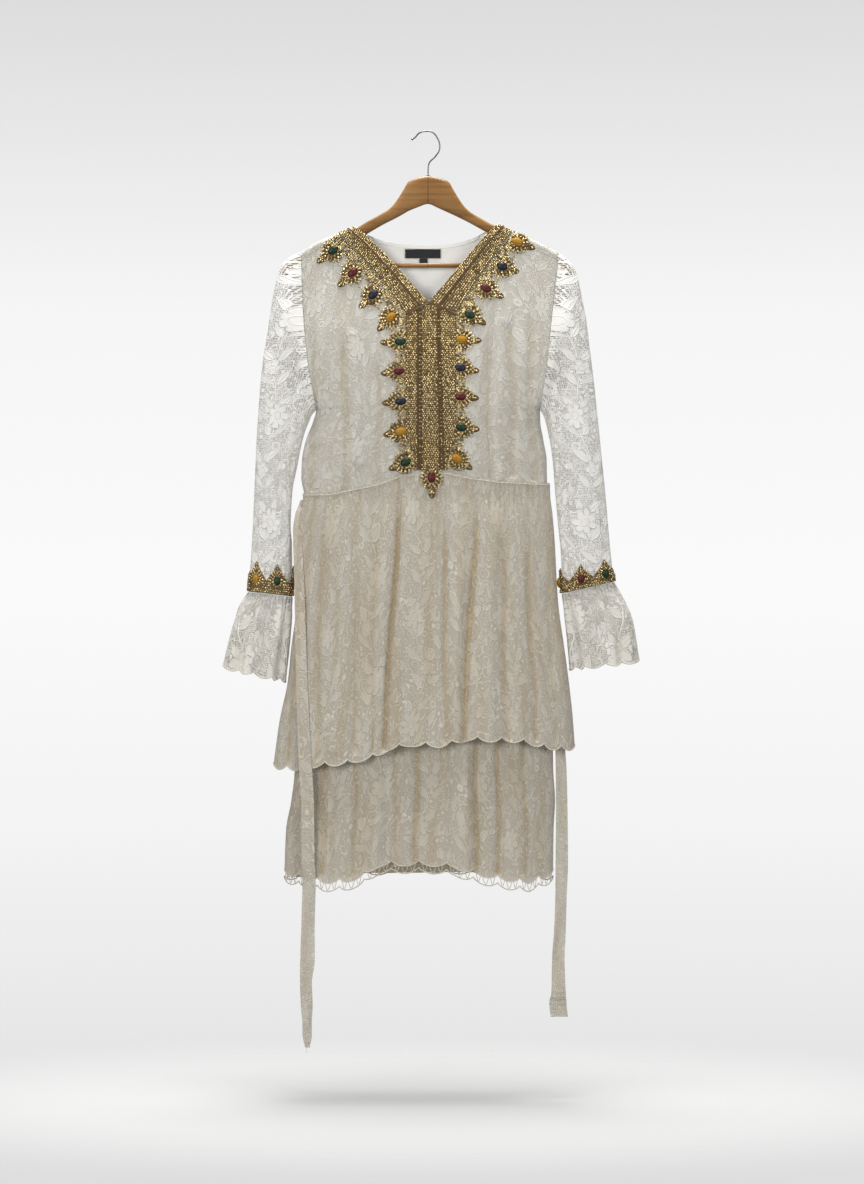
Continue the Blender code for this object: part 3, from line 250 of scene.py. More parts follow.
def ramped(tree, value, low, high, start=0.0, end=1.0):
    """Spreads a value from one range to another, with smooth ends."""
    ends = {"From Min": low, "From Max": high, "To Min": start, "To Max": end}
    return node(tree, "MapRange", {"Value": value, **ends}, interpolation_type="SMOOTHSTEP").outputs[0]


def noise(tree, place, scale, detail=4.0):
    settings = {"Vector": place, "Scale": scale, "Detail": detail, "Roughness": 0.55}
    return node(tree, "TexNoise", settings).outputs[0]


def stretched(tree, place, scale):
    """Coordinates stretched by a scale along each axis."""
    return node(tree, "Mapping", {"Vector": place, "Scale": scale}).outputs[0]


def coordinates(tree, kind="Object"):
    return node(tree, "TexCoord").outputs[kind]


def mottled(tree, pattern, low, high, dark, light):
    """Two colours in patches, where a pattern runs from a low to a high value."""
    return blend_colours(tree, ramped(tree, pattern, low, high), dark, light)


wood, tree, shader = new_finish("varnished wood", 0.38)
place = coordinates(tree)
grain = noise(tree, stretched(tree, place, (6, 60, 160)), 1.0, 6.0)
fibres = noise(tree, stretched(tree, place, (30, 500, 900)), 1.0, 2.0)
blotches = noise(tree, place, 14.0, 2.0)
plain = mottled(tree, grain, 0.38, 0.64, (0.19, 0.083, 0.014), (0.29, 0.138, 0.031))
toned = blend_colours(tree, ramped(tree, fibres, 0.35, 0.75, 0.0, 0.35), plain, (0.15, 0.058, 0.010))
patchy = blend_colours(tree, ramped(tree, blotches, 0.35, 0.7, 0.0, 0.3), toned, (0.40, 0.215, 0.07))
off_middle = node(tree, "SeparateXYZ", {0: place}).outputs["X"]
off_seam = node(tree, "Math", {0: off_middle}, operation="ABSOLUTE").outputs[0]
join(tree, mottled(tree, off_seam, 0.0002, 0.0009, (0.10, 0.04, 0.015), patchy), shader.inputs["Base Color"])
shader.inputs["Coat Weight"].default_value = 0.1
shader.inputs["Coat Roughness"].default_value = 0.25
bumped(tree, shader, fibres, 0.0002, 0.4)

shape = bmesh.new()
rings = []
for i in range(ARM_STATIONS):
    share = 0.5 - 0.5 * math.cos(math.pi * i / (ARM_STATIONS - 1))
    x = ARMS[0].x + (ARMS[-1].x - ARMS[0].x) * share
    top = float(read(ARMS, x, "top"))
    under = float(read(ARMS, x, "under"))
    middle = (top + under) / 2
    half = (top - under) / 2
    end = min(1.0, math.sqrt(max(0.0, min(x - ARMS[0].x, ARMS[-1].x - x) / ARM_END) + 0.08))
    ring = []
    for corner in range(ARM_CORNERS):
        angle = 2 * math.pi * corner / ARM_CORNERS
        sides = (math.cos(angle), math.sin(angle))
        across, up = (math.copysign(abs(side) ** ARM_SQUARENESS, side) for side in sides)
        ring.append(shape.verts.new(Vector((x, across * ARM_DEPTH / 2 * end, middle + up * half * end)) * MM))
    rings.append([shape.edges.new((ring[i - 1], ring[i])) for i in range(ARM_CORNERS)])
    if i in (0, ARM_STATIONS - 1):
        shape.faces.new(ring)
for first, second in zip(rings, rings[1:]):
    bmesh.ops.bridge_loops(shape, edges=first + second)
bmesh.ops.recalc_face_normals(shape, faces=shape.faces)
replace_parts(new_piece("hanger", shape, wood, "hanger_wood"), "hanger_body")


def turned(shape, middle, low, high, length, quarter_turn=False):
    """A round bar or cone about a middle point, with its two diameters and its length."""
    matrix = Matrix.Translation(Vector(middle) * MM)
    if quarter_turn:
        matrix = matrix @ Matrix.Rotation(math.pi / 2, 4, "Y")
    bmesh.ops.create_cone(shape, cap_ends=True, segments=24, radius1=low / 2 * MM, radius2=high / 2 * MM,
                          depth=length * MM, matrix=matrix)


shape = bmesh.new()
bar_middle = ((BAR_LEFT + BAR_RIGHT) / 2, 0, BAR_HEIGHT)
turned(shape, bar_middle, BAR_DIAMETER, BAR_DIAMETER, BAR_RIGHT - BAR_LEFT, quarter_turn=True)
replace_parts(new_piece("bar", shape, wood, "hanger_wood"), "hanger_bar")

# Hook: bright steel wire, bent to a swan neck and screwed into the top of the hanger.
# Its tip has a small ball, and a little collar sits where it enters the wood.
HOOK_ROUTE = rows(
    Point,
    (-24.8, -11.3), (-19.5, -8.3), (-14, -2.2), (-9, 0.3), (-4, 1.2), (4.5, 0.6), (9.5, -2.6), (13.8, -8.6),
    (16.6, -15), (17.6, -22.5), (16.4, -28.8), (13.4, -33.6), (9, -39), (3.8, -43.6), (1, -49), (0.3, -56),
    (0.2, -65.2),
)
WIRE = 2.2
BALL = 3.7
steel, tree, shader = new_finish("bright wire", 0.28, 1.0)
drawn = noise(tree, stretched(tree, coordinates(tree), (400, 400, 90)), 1.0, 3.0)
join(tree, blend_colours(tree, drawn, (0.10, 0.10, 0.10), (0.30, 0.30, 0.295)), shader.inputs["Base Color"])
join(tree, ramped(tree, drawn, 0.3, 0.7, 0.2, 0.4), shader.inputs["Roughness"])


def new_route(name, radius, finish):
    route = bpy.data.curves.new(name, "CURVE")
    route.dimensions = "3D"
    route.bevel_depth = radius * MM
    route.bevel_resolution = 1
    route.use_fill_caps = True
    route.materials.append(finish)
    return route


route = new_route("hook", WIRE / 2, steel)
route.bevel_resolution = 3
route.resolution_u = 8
wire = route.splines.new("BEZIER")
wire.bezier_points.add(len(HOOK_ROUTE) - 1)
for knot, spot in zip(wire.bezier_points, HOOK_ROUTE):
    knot.co = Vector((spot.x, 0, spot.z)) * MM
    knot.handle_left_type = "AUTO"
    knot.handle_right_type = "AUTO"
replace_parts(placed("hook", route, "hook_wire"), "hanger_hook")
shape = bmesh.new()
tip = Matrix.Translation(Vector((HOOK_ROUTE[0].x + 1.2, 0, HOOK_ROUTE[0].z + 0.7)) * MM)
bmesh.ops.create_uvsphere(shape, u_segments=20, v_segments=12, radius=BALL / 2 * MM, matrix=tip)
turned(shape, (0.2, 0, -65.4), 6.4, 4.0, 1.4)
new_piece("hook_ends", shape, steel, "hook_wire")

# Lining: plain smooth woven cloth, cut without sleeves, from the neck to a straight hem.
# It is white at the back of the neck and a warmer cream in the skirt, and hangs in soft folds.
Level = namedtuple("Level", "z left right depth")
Crease = namedtuple("Crease", "x_top z_top x_low z_low width depth")
BODY = rows(
    Level,
    (-180, -189, 193.5, 12), (-200, -189, 193.5, 13), (-252, -187.5, 188, 17), (-297, -184.5, 183, 21),
    (-342, -180, 178.5, 24), (-387, -172.5, 172, 26), (-417, -168, 168, 27), (-435, -172.5, 168.5, 27),
    (-462, -183, 173, 27), (-492, -189, 178, 26.5), (-519, -190, 178.5, 26), (-547, -185.5, 179.5, 26),
    (-702, -192, 182, 28), (-957, -198, 184, 31), (-1122, -208.5, 182, 33),
)
RIDGE = rows(
    Point,
    (-189, -180), (-177, -171.5), (-162, -163), (-147, -156.8), (-124.5, -147.9), (-111, -142.6), (0, -100),
    (105, -138.2), (123, -147.6), (138, -153.8), (153, -159.8), (168, -166.5), (183, -174.5), (193.5, -180),
)
V_NECK = rows(
    Point,
    (-111, -142.6), (-93, -156), (-72, -177), (-42, -208.5), (-12, -243), (0.5, -256.5), (18, -237), (51, -198),
    (78, -165), (91.5, -151.5), (105, -138.2),
)
BACK_NECK = rows(
    Point,
    (-111, -142.6), (-90, -153), (-79.5, -157.5), (-64.5, -162.8), (-49.5, -165.8), (-27, -168), (0, -168.8),
    (27, -167.5), (40.5, -165.8), (55.5, -162), (70.5, -156.8), (82.5, -150), (105, -138.2),
)
NECK_LEFT = -111.0
NECK_RIGHT = 105.0
WAIST_FRONT = rows(
    Point,
    (-190, -546), (-147, -546), (-124, -541.5), (-102, -537), (-79.5, -532.5), (-64.5, -528), (-42, -519),
    (0, -514), (28.5, -515), (63, -522), (108, -528), (185, -531),
)
WAIST_BACK = rows(Point, (-190, -546), (185, -531))
LINING_HEM_FRONT = rows(
    Point,
    (-208, -1116), (-110, -1114), (-72, -1101), (0, -1095), (25, -1095), (93, -1109), (145, -1117),
    (184, -1112),
)
LINING_HEM_BACK = rows(Point, (-208, -1116), (184, -1112))
BODY_ROUND = 2.6
RIDGE_ROUND = 3.0
SHOULDER_RADIUS = 12.0
SHOULDER_END = -180.0
UNDERARM = -417.0
UNDERARM_RISE = 45.0
CHEST_BELOW = 90.0
CHEST_ABOVE = 110.0
EDGE_POWER = 14
HALF_SEAM = 0.15
LINING_INSET = 2.1
BACK_SHIFT = 0.031

# Soft troughs and ridges of the bodice, from where each starts to where it ends
CREASES_FRONT = rows(
    Crease,
    (-124, -290, -121, -545, 11, -5), (-150, -250, -163, -470, 14, 2.2), (-72, -330, -74, -530, 12, -3.4),
    (-98, -240, -99, -500, 15, 1.8), (-166, -300, -174, -540, 10, -4.2), (-140, -190, -112, -300, 13, -1.4),
    (88, -300, 92, -525, 13, -3.2), (122, -260, 128, -520, 12, -4), (106, -320, 108, -525, 11, 1.8),
    (150, -250, 158, -525, 13, -3.6), (140, -200, 118, -290, 13, 1.4), (-60, -430, -30, -515, 10, -1.2),
)
CREASES_BACK = rows(
    Crease,
    (-130, -250, -126, -540, 16, -2.6), (-88, -210, -96, -530, 18, 1.8), (-50, -230, -46, -540, 16, -2.2),
    (0, -200, 4, -530, 18, 1.6), (40, -250, 44, -535, 15, -2.4), (84, -230, 92, -530, 18, 1.8),
    (128, -260, 134, -530, 15, -2.8),
)
CREASES_SKIRT = rows(
    Crease,
    (-150, -560, -160, -1120, 26, -3.5), (-104, -560, -96, -1120, 28, 0.8), (-60, -560, -58, -1120, 22, -5),
    (-24, -560, -14, -1120, 20, -5.5), (20, -560, 30, -1120, 26, 0.8), (58, -560, 66, -1120, 20, -5),
    (100, -560, 106, -1120, 22, -4), (146, -560, 150, -1120, 24, 0.8),
)


def line(points, x):
    """Height at x on a line of straight stretches."""
    return np.interp(x, [point.x for point in points], [point.z for point in points])


def arch(place, power):
    return (1 - np.clip(np.abs(place), 0, 1) ** power) ** (1 / power)


def ridge(x):
    return read(RIDGE, x, "z")


def side_closing(s, z, inset):
    """1 where the cloth is open to a sleeve, and a rounded oval's side below the underarm."""
    edge = arch(1 - np.clip((z - UNDERARM - inset) / UNDERARM_RISE, 0, 1), BODY_ROUND)
    t = np.clip((z - UNDERARM + CHEST_BELOW) / (CHEST_BELOW + CHEST_ABOVE), 0, 1)
    near_edge = np.abs(s) ** EDGE_POWER
    opened = edge * near_edge + t * t * (3 - 2 * t) * (1 - near_edge)
    closed = arch(s, BODY_ROUND)
    return closed + (1 - closed) * opened


def body_span(z, inset):
    left = read(BODY, z, "left")
    right = read(BODY, z, "right")
    return (left + right) / 2, (right - left) / 2 - inset


def body_reach(s, x, z, inset):
    """Half the body's depth, with the cloth rounded over the shoulder ridge."""
    below = np.maximum(ridge(x) - inset - z, 0)
    over = arch(np.maximum(1 - below / SHOULDER_RADIUS, 0), RIDGE_ROUND)
    return (read(BODY, z, "depth") - inset) * over * side_closing(s, z, inset)


def creased(table, x, z):
    """How far soft creases push the cloth out; each fades in and out along its length."""
    depth = np.zeros_like(x)
    for crease in table:
        t = (z - crease.z_top) / (crease.z_low - crease.z_top)
        middle = crease.x_top + (crease.x_low - crease.x_top) * t
        middle = middle + crease.width * 0.18 * np.sin(9 * t + crease.x_top)
        away = np.clip(np.abs(x - middle) / crease.width, 0, 1)
        along = np.clip(np.minimum(t, 1 - t) / 0.22, 0, 1)
        along = np.where(t > 0.5, np.maximum(along, np.clip((t - 0.5) * 2, 0, 1) * (t < 1)), along)
        depth = depth + crease.depth * np.cos(away * math.pi / 2) ** 2 * along * along * (3 - 2 * along)
    return depth


def neckline(facing, x):
    inside = (x > NECK_LEFT) & (x < NECK_RIGHT)
    return np.where(inside, line(V_NECK if facing < 0 else BACK_NECK, x), ridge(x))


def body_columns(u):
    """Shares of the half width, with a column at each neck point and at the V's foot."""
    middle, half = body_span(SHOULDER_END, 0)
    stops = np.array([-1, (NECK_LEFT - middle) / half, (0.5 - middle) / half, (NECK_RIGHT - middle) / half, 1])
    counts = np.array([0, 0.23, 0.5, 0.77, 1])
    place = np.clip(np.searchsorted(counts, u + 1e-9, side="right") - 1, 0, 3)
    t = np.clip((u - counts[place]) / (counts[place + 1] - counts[place]), 0, 1)
    eased = np.choose(place, (1 - np.cos(t * math.pi / 2), t**1.3, 1 - (1 - t) ** 1.3, np.sin(t * math.pi / 2)))
    return stops[place] + (stops[place + 1] - stops[place]) * eased


def body_cloth(facing, share_of, waist, hem, inset, creases):
    """The place of a body panel's point; shares run 0 shoulder, 1 underarm, 2 waist, 3 hem."""

    def place(u, v):
        s = body_columns(u)
        top = np.full_like(u, SHOULDER_END)
        middle_line = np.full_like(u, waist[0].z)
        bottom = np.full_like(u, hem[0].z)
        for _ in range(5):
            middle, half = body_span(top, inset)
            top = neckline(facing, middle + half * s) - inset
            middle, half = body_span(middle_line, inset)
            middle_line = line(waist, middle + half * s)
            middle, half = body_span(bottom, inset)
            bottom = line(hem, middle + half * s)
        share = np.interp(v, *share_of)
        z = np.where(share < 1, top + (UNDERARM - top) * share, 0)
        z = np.where((share >= 1) & (share < 2), UNDERARM + (middle_line - UNDERARM) * (share - 1), z)
        z = np.where(share >= 2, middle_line + (bottom - middle_line) * (share - 2), z)
        middle, half = body_span(z, inset)
        x = middle + half * s
        reach = body_reach(s, x, z, inset)
        soft = 1 - np.abs(s) ** 10
        near_top = np.clip((neckline(facing, x) - z) / 30, 0, 1)
        reach = reach + creased(creases, x, z) * soft * near_top
        return x, facing * (HALF_SEAM + np.maximum(reach, 0)), z

    return place


def cloth(name, columns, rows, place, flat, finish, slot, ring=False, creases=(), upright=False):
    """A sheet of cloth with its point (u, v) at place(u, v), and a map in metres of flat cloth.

    The map follows the cloth's rows, or its height where the cloth hangs upright. The back's map
    starts a little further along. Its "trough" attribute is how deep each point lies in a crease,
    for the painted shade of the folds.
    """
    shape = bmesh.new()
    bmesh.ops.create_grid(shape, x_segments=columns, y_segments=rows, size=0.5)
    mesh = bpy.data.meshes.new(name)
    shape.to_mesh(mesh)
    shape.free()
    corners = np.empty(len(mesh.vertices) * 3)
    mesh.vertices.foreach_get("co", corners)
    u = np.clip(np.round((corners[0::3] + 0.5) * columns) / columns, 0, 1)
    v = np.clip(np.round((corners[1::3] + 0.5) * rows) / rows, 0, 1)
    x, y, z = place(u, v)
    mesh.vertices.foreach_set("co", (np.column_stack((x, y, z)) * MM).ravel())
    # Crease depth, which the lace finish turns into painted shade.
    trough = mesh.attributes.new("trough", "FLOAT", "POINT")
    trough.data.foreach_set("value", np.clip(-creased(creases, x, z) / 4, -1, 1))
    corner_of = np.empty(len(mesh.loops), np.int32)
    mesh.loops.foreach_get("vertex_index", corner_of)
    layer = mesh.uv_layers.new(name="cloth")
    start = BACK_SHIFT if name.endswith("_back") else 0.0
    down = z * MM if upright else -v * flat[1]
    layer.data.foreach_set("uv", np.column_stack((u * flat[0] + start, down))[corner_of].ravel())
    mesh.update()
    facing_out = sum(face.normal.y * face.center.y * face.area for face in mesh.polygons)
    if facing_out < 0:
        mesh.flip_normals()
    if ring:
        shape = bmesh.new()
        shape.from_mesh(mesh)
        bmesh.ops.remove_doubles(shape, verts=shape.verts, dist=1e-5)
        shape.to_mesh(mesh)
        shape.free()
    mesh.materials.append(finish)
    mesh.polygons.foreach_set("use_smooth", [True] * len(mesh.polygons))
    return placed(name, mesh, slot)


lining, tree, shader = new_finish("plain lining", 0.62)
place = coordinates(tree)
upper = ramped(tree, node(tree, "SeparateXYZ", {0: place}).outputs["Z"], -0.58, -0.40)
white = mottled(tree, noise(tree, place, 9.0, 2.0), 0.35, 0.65, (0.90, 0.89, 0.86), (0.86, 0.85, 0.815))
cream = mottled(tree, noise(tree, place, 7.0, 2.0), 0.35, 0.65, (0.66, 0.575, 0.43), (0.60, 0.53, 0.41))
join(tree, blend_colours(tree, upper, cream, white), shader.inputs["Base Color"])
warp = noise(tree, stretched(tree, coordinates(tree, "UV"), (1600, 260, 1)), 1.0, 2.0)
bumped(tree, shader, warp, 0.0002, 0.5)
shader.inputs["Sheen Weight"].default_value = 0.15

LINING_TOP_ROWS = ([0, 0.16, 0.6, 0.8, 1.0], [0, 0.09, 1.0, 1.6, 1.998])
LINING_SKIRT_ROWS = ([0, 1], [2.0004, 3.0])
Half = namedtuple("Half", "side facing waist hem creases")
HALVES = rows(
    Half,
    ("front", -1, WAIST_FRONT, LINING_HEM_FRONT, CREASES_FRONT),
    ("back", 1, WAIST_BACK, LINING_HEM_BACK, CREASES_BACK),
)
for side, facing, waist, hem, creases in HALVES:
    place = body_cloth(facing, LINING_TOP_ROWS, waist, hem, LINING_INSET, creases)
    top = cloth("lining_top_" + side, 100, 90, place, (0.42, 0.40), lining, "lining", creases=creases)
    place = body_cloth(facing, LINING_SKIRT_ROWS, waist, hem, LINING_INSET, CREASES_SKIRT)
    skirt = cloth("lining_skirt_cloth_" + side, 100, 60, place, (0.41, 0.58), lining, "lining",
                  creases=CREASES_SKIRT)
    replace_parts(top, "lining_" + side)
    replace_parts(skirt, "lining_skirt_" + side)

# Bodice: corded floral lace over the lining, a front and a back joined at the shoulders and sides.
# Vines of embroidered flowers and leaves, outlined in cord, stand on a fine net ground.
VINE_WIDTH = 0.088
VINE_REPEAT = 0.152
HOLE = 0.0026
CURL = 0.013
lace_group = bpy.data.node_groups.new("corded lace", "ShaderNodeTree")
lace_group.interface.new_socket("Place", in_out="INPUT", socket_type="NodeSocketVector")
for name in ("Motif", "Cord", "Net", "Cloth", "Height"):
    lace_group.interface.new_socket(name, in_out="OUTPUT", socket_type="NodeSocketFloat")


def lace(kind, inputs=(), **settings):
    return node(lace_group, kind, inputs, **settings)


def calc(operation, *values):
    """One step of arithmetic on sockets or numbers, in the lace's pattern."""
    return lace("Math", dict(enumerate(values)), operation=operation).outputs[0]


def spread(value, low, high, start=0.0, end=1.0):
    return ramped(lace_group, value, low, high, start, end)


def highest(first, *others):
    for other in others:
        first = calc("MAXIMUM", first, other)
    return first


def pointed_leaf(across, along, place, turn, size):
    """How far inside a pointed leaf a spot is; size gives its length and width."""
    x, y = calc("SUBTRACT", across, place[0]), calc("SUBTRACT", along, place[1])
    lengthwise = calc("ADD", calc("MULTIPLY", x, math.sin(turn)), calc("MULTIPLY", y, math.cos(turn)))
    sideways = calc("SUBTRACT", calc("MULTIPLY", x, math.cos(turn)), calc("MULTIPLY", y, math.sin(turn)))
    share = calc("MULTIPLY", lengthwise, 2 / size[0])
    width = calc("MULTIPLY_ADD", calc("MULTIPLY", share, share), -size[1] / 2, size[1] / 2)
    off_rib = calc("ABSOLUTE", sideways)
    return calc("SUBTRACT", width, off_rib), off_rib


def round_flower(across, along, place, radius, petals):
    """How far inside a flower of round petals a spot is, and how far it is from the middle."""
    x, y = calc("SUBTRACT", across, place[0]), calc("SUBTRACT", along, place[1])
    away = calc("SQRT", calc("ADD", calc("MULTIPLY", x, x), calc("MULTIPLY", y, y)))
    turn = calc("MULTIPLY", calc("ARCTAN2", y, x), petals / 2)
    petal = calc("POWER", calc("ABSOLUTE", calc("COSINE", turn)), 0.45)
    edge = calc("MULTIPLY_ADD", petal, radius * 0.42, radius * 0.58)
    return calc("SUBTRACT", edge, away), away


# The pattern's place, bent a little, then split in columns of vine that mirror one another
flat_place = lace_group.nodes.new("NodeGroupInput").outputs[0]
sway = lace("TexNoise", {"Vector": flat_place, "Scale": 14, "Detail": 2}).outputs["Color"]
bent = lace("VectorMath", {0: sway, 1: (0.028, 0.028, 0), 2: flat_place}, operation="MULTIPLY_ADD").outputs[0]
axes = lace("SeparateXYZ", {0: bent})
column = calc("FLOOR", calc("DIVIDE", axes.outputs["X"], VINE_WIDTH))
odd = calc("PINGPONG", column, 1.0)
column_middle = calc("MULTIPLY", calc("ADD", column, 0.5), VINE_WIDTH)
mirror = calc("MULTIPLY_ADD", odd, -2.0, 1.0)
across = calc("MULTIPLY", calc("SUBTRACT", axes.outputs["X"], column_middle), mirror)
along = calc("FLOORED_MODULO", calc("MULTIPLY_ADD", odd, VINE_REPEAT / 2, axes.outputs["Y"]), VINE_REPEAT)

# A waving stem with pairs of leaves, a large flower, a bud and a flower between the columns
wave = calc("SINE", calc("MULTIPLY", along, 2 * math.pi / VINE_REPEAT))
beside = calc("ABSOLUTE", calc("SUBTRACT", across, calc("MULTIPLY", wave, 0.010)))
stem = calc("SUBTRACT", 0.0010, beside)
quarter = calc("FLOORED_MODULO", along, VINE_REPEAT / 4)
later = calc("FLOORED_MODULO", calc("ADD", along, 0.012), VINE_REPEAT / 4)
leaf, rib = pointed_leaf(beside, quarter, (0.0120, 0.020), math.radians(42), (0.031, 0.0115))
small_leaf, small_rib = pointed_leaf(beside, later, (0.034, 0.016), math.radians(20), (0.024, 0.009))
from_edge = calc("SUBTRACT", calc("ABSOLUTE", across), VINE_WIDTH / 2)
flower, from_flower = round_flower(across, along, (0.011, VINE_REPEAT * 0.25), 0.019, 7)
bud, from_bud = round_flower(across, along, (-0.012, VINE_REPEAT * 0.75), 0.0115, 5)
side_bud = round_flower(from_edge, along, (0.0, VINE_REPEAT * 0.5), 0.0095, 6)[0]
leaves = highest(leaf, small_leaf, stem)
blooms = highest(flower, bud, side_bud)
clear_of_blooms = calc("MULTIPLY_ADD", blooms, -1.0, -0.0022)
field = highest(calc("MINIMUM", leaves, clear_of_blooms), blooms)
motif = spread(field, -0.0003, 0.0005)

# Cord along the outlines, the leaves' ribs and the flowers' hearts, and in coils on the net
outline = spread(calc("ABSOLUTE", calc("SUBTRACT", field, 0.0008)), 0.0004, 0.0011, 1.0, 0.0)
ribs = spread(calc("MINIMUM", rib, small_rib), 0.0003, 0.0008, 1.0, 0.0)
ribs = calc("MULTIPLY", ribs, spread(leaves, 0.0006, 0.0016))
from_heart = calc("MINIMUM", from_flower, calc("ADD", from_bud, 0.0018))
hearts = spread(calc("ABSOLUTE", calc("SUBTRACT", from_heart, 0.0062)), 0.0004, 0.0010, 1.0, 0.0)
hearts = calc("MULTIPLY", hearts, spread(blooms, 0.0, 0.0012))
coils = lace("TexVoronoi", {"Vector": bent, "Scale": 1 / CURL, "Randomness": 0.75}).outputs["Distance"]
coil = spread(calc("PINGPONG", coils, 0.17), 0.02, 0.055, 1.0, 0.0)
coil = calc("MULTIPLY", coil, spread(coils, 0.12, 0.2))
coil = calc("MULTIPLY", coil, calc("MULTIPLY_ADD", motif, -0.75, 0.8))
cord = highest(outline, calc("MULTIPLY", ribs, 0.6), hearts, coil)

# The net's threads, and how solid and how high the cloth is in all
mesh_of_net = {"Vector": flat_place, "Scale": 1 / HOLE, "Randomness": 0.35}
holes = lace("TexVoronoi", mesh_of_net, feature="DISTANCE_TO_EDGE")
net = spread(holes.outputs["Distance"], 0.09, 0.24, 1.0, 0.0)
stitches = lace("TexNoise", {"Vector": flat_place, "Scale": 900, "Detail": 2}).outputs[0]
filled = calc("MULTIPLY", motif, spread(stitches, 0.35, 0.62, 0.86, 1.0))
solid = highest(filled, cord, calc("MULTIPLY", net, 0.85))
height = calc("ADD", calc("MULTIPLY", filled, 0.45), calc("MULTIPLY", cord, 0.55))
height = highest(height, calc("MULTIPLY", net, 0.25))
result = lace_group.nodes.new("NodeGroupOutput")
for name, value in (("Motif", motif), ("Cord", cord), ("Net", net), ("Cloth", solid), ("Height", height)):
    join(lace_group, value, result.inputs[name])


def new_lace(name, ground, petals, cords, warm, open_share, backing=None):
    """Lace in three shades, with warmer painted shade in streaks and in the troughs of its folds.

    open_share is how much cloth its holes keep, and backing is the shade seen through them.
    """
    finish, tree, shader = new_finish(name, 0.72)
    uv = coordinates(tree, "UV")
    group = tree.nodes.new("ShaderNodeGroup")
    group.node_tree = lace_group
    join(tree, uv, group.inputs[0])
    pattern = group.outputs
    # Painted shade: long vertical streaks and the troughs of the creases multiply a shade tint into the lace's
    # colour.
    streaks = ramped(tree, noise(tree, stretched(tree, uv, (34, 3.5, 1)), 1.0, 3.0), 0.42, 0.68, 0.0, 0.42)
    patches = ramped(tree, noise(tree, uv, 22.0, 3.0), 0.35, 0.65, 0.0, 0.45)
    petal = blend_colours(tree, patches, petals, ground)
    netting = ground if backing is None else blend_colours(tree, pattern["Net"], backing, ground)
    cloth_colour = blend_colours(tree, pattern["Motif"], netting, petal)
    corded = node(tree, "Math", {0: pattern["Cord"], 1: 0.75}, operation="MULTIPLY").outputs[0]
    folds = node(tree, "Attribute", attribute_name="trough").outputs["Fac"]
    shade = {0: streaks, 1: ramped(tree, folds, 0.05, 1.0, 0.0, 0.8)}
    shade = node(tree, "Math", shade, operation="MAXIMUM").outputs[0]
    tinting = {0: shade, 6: blend_colours(tree, corded, cloth_colour, cords), 7: (*warm, 1)}
    tinted = node(tree, "Mix", tinting, data_type="RGBA", blend_type="MULTIPLY")
    join(tree, tinted.outputs[2], shader.inputs["Base Color"])
    shader.inputs["Sheen Weight"].default_value = 0.2
    if backing is None:
        join(tree, ramped(tree, pattern["Cloth"], 0.1, 0.9, open_share, 1.0), shader.inputs["Alpha"])
    bumped(tree, shader, pattern["Height"], 0.0014, 1.0)
    return finish


bodice_lace = new_lace("bodice lace", (0.575, 0.545, 0.48), (0.605, 0.585, 0.53), (0.72, 0.71, 0.665),
                       (0.86, 0.82, 0.73), 1.0, backing=(0.50, 0.465, 0.395))
BODICE_ROWS = ([0, 0.12, 0.7, 1.0], [0, 0.07, 1.0, 1.9995])
for side, facing, waist, hem, creases in HALVES:
    place = body_cloth(facing, BODICE_ROWS, waist, hem, 0.0, creases)
    panel = cloth("bodice_lace_" + side, 200, 130, place, (0.43, 0.42), bodice_lace, "lace", creases=creases)
    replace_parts(panel, "bodice_" + side)

# Upper tier: gathered lace with a scalloped, corded hem, sewn on at the waist front and back.
# Tiny gathers start under the waist and open into long soft folds, deepest left of the middle.
Fold = namedtuple("Fold", "x_top x_hem width depth")
UPPER_TIER = rows(
    Level,
    (-505, -191.5, 182, 28.05), (-547, -187.6, 183.5, 28.1), (-575, -192.5, 187, 30.8), (-612, -196, 190, 33.5),
    (-702, -197, 195, 38.5), (-777, -205.5, 205, 43), (-822, -210, 211, 45.5), (-882, -222.5, 217.5, 49.5),
    (-950, -232, 222, 53),
)
UPPER_HEM_FRONT = rows(
    Point,
    (-232, -946), (-195, -948), (-160, -942), (-117, -938), (-76, -928), (-57, -917), (-27, -911), (18, -913),
    (60, -903), (138, -906), (180, -917), (222, -919),
)
UPPER_HEM_BACK = rows(Point, (-232, -946), (0, -928), (222, -919))
UPPER_FOLDS_FRONT = rows(
    Fold,
    (-172, -196, 16, -4), (-156, -165, 18, -5), (-128, -132, 20, 3), (-106, -109, 17, -5), (-77, -84, 17, -4),
    (-58, -80, 20, 3), (-39, -69, 15, -6.5), (-18, -46, 22, 4), (6, -8, 24, -3), (24, 27, 18, -4.5),
    (48, 38, 20, 3.5), (74, 51, 16, -5.5), (92, 88, 26, 3.5), (114, 117, 18, -5), (146, 160, 18, -4.5),
    (166, 190, 18, -4),
)
UPPER_FOLDS_BACK = rows(
    Fold,
    (-160, -180, 22, -4.5), (-118, -136, 22, -5), (-84, -98, 24, 3.5), (-62, -70, 20, -5.5), (-28, -34, 24, 4),
    (-6, -8, 18, -5), (30, 36, 24, 3.5), (52, 62, 20, -5.5), (88, 106, 22, -5), (122, 146, 24, 3),
    (148, 176, 20, -4.5),
)
UPPER_SCALLOPS = 14
SCALLOP_DROP = 8.0
GATHER_PITCH = 8.5
GATHER_DEPTH = 0.9
GATHER_REACH = 75
TIER_COLUMNS = 336
HEM_CORD = 0.9
WAIST_CORD_AT = 0.008
TIE_CLEARANCE = 3.0
TIER_LAP = 4.0
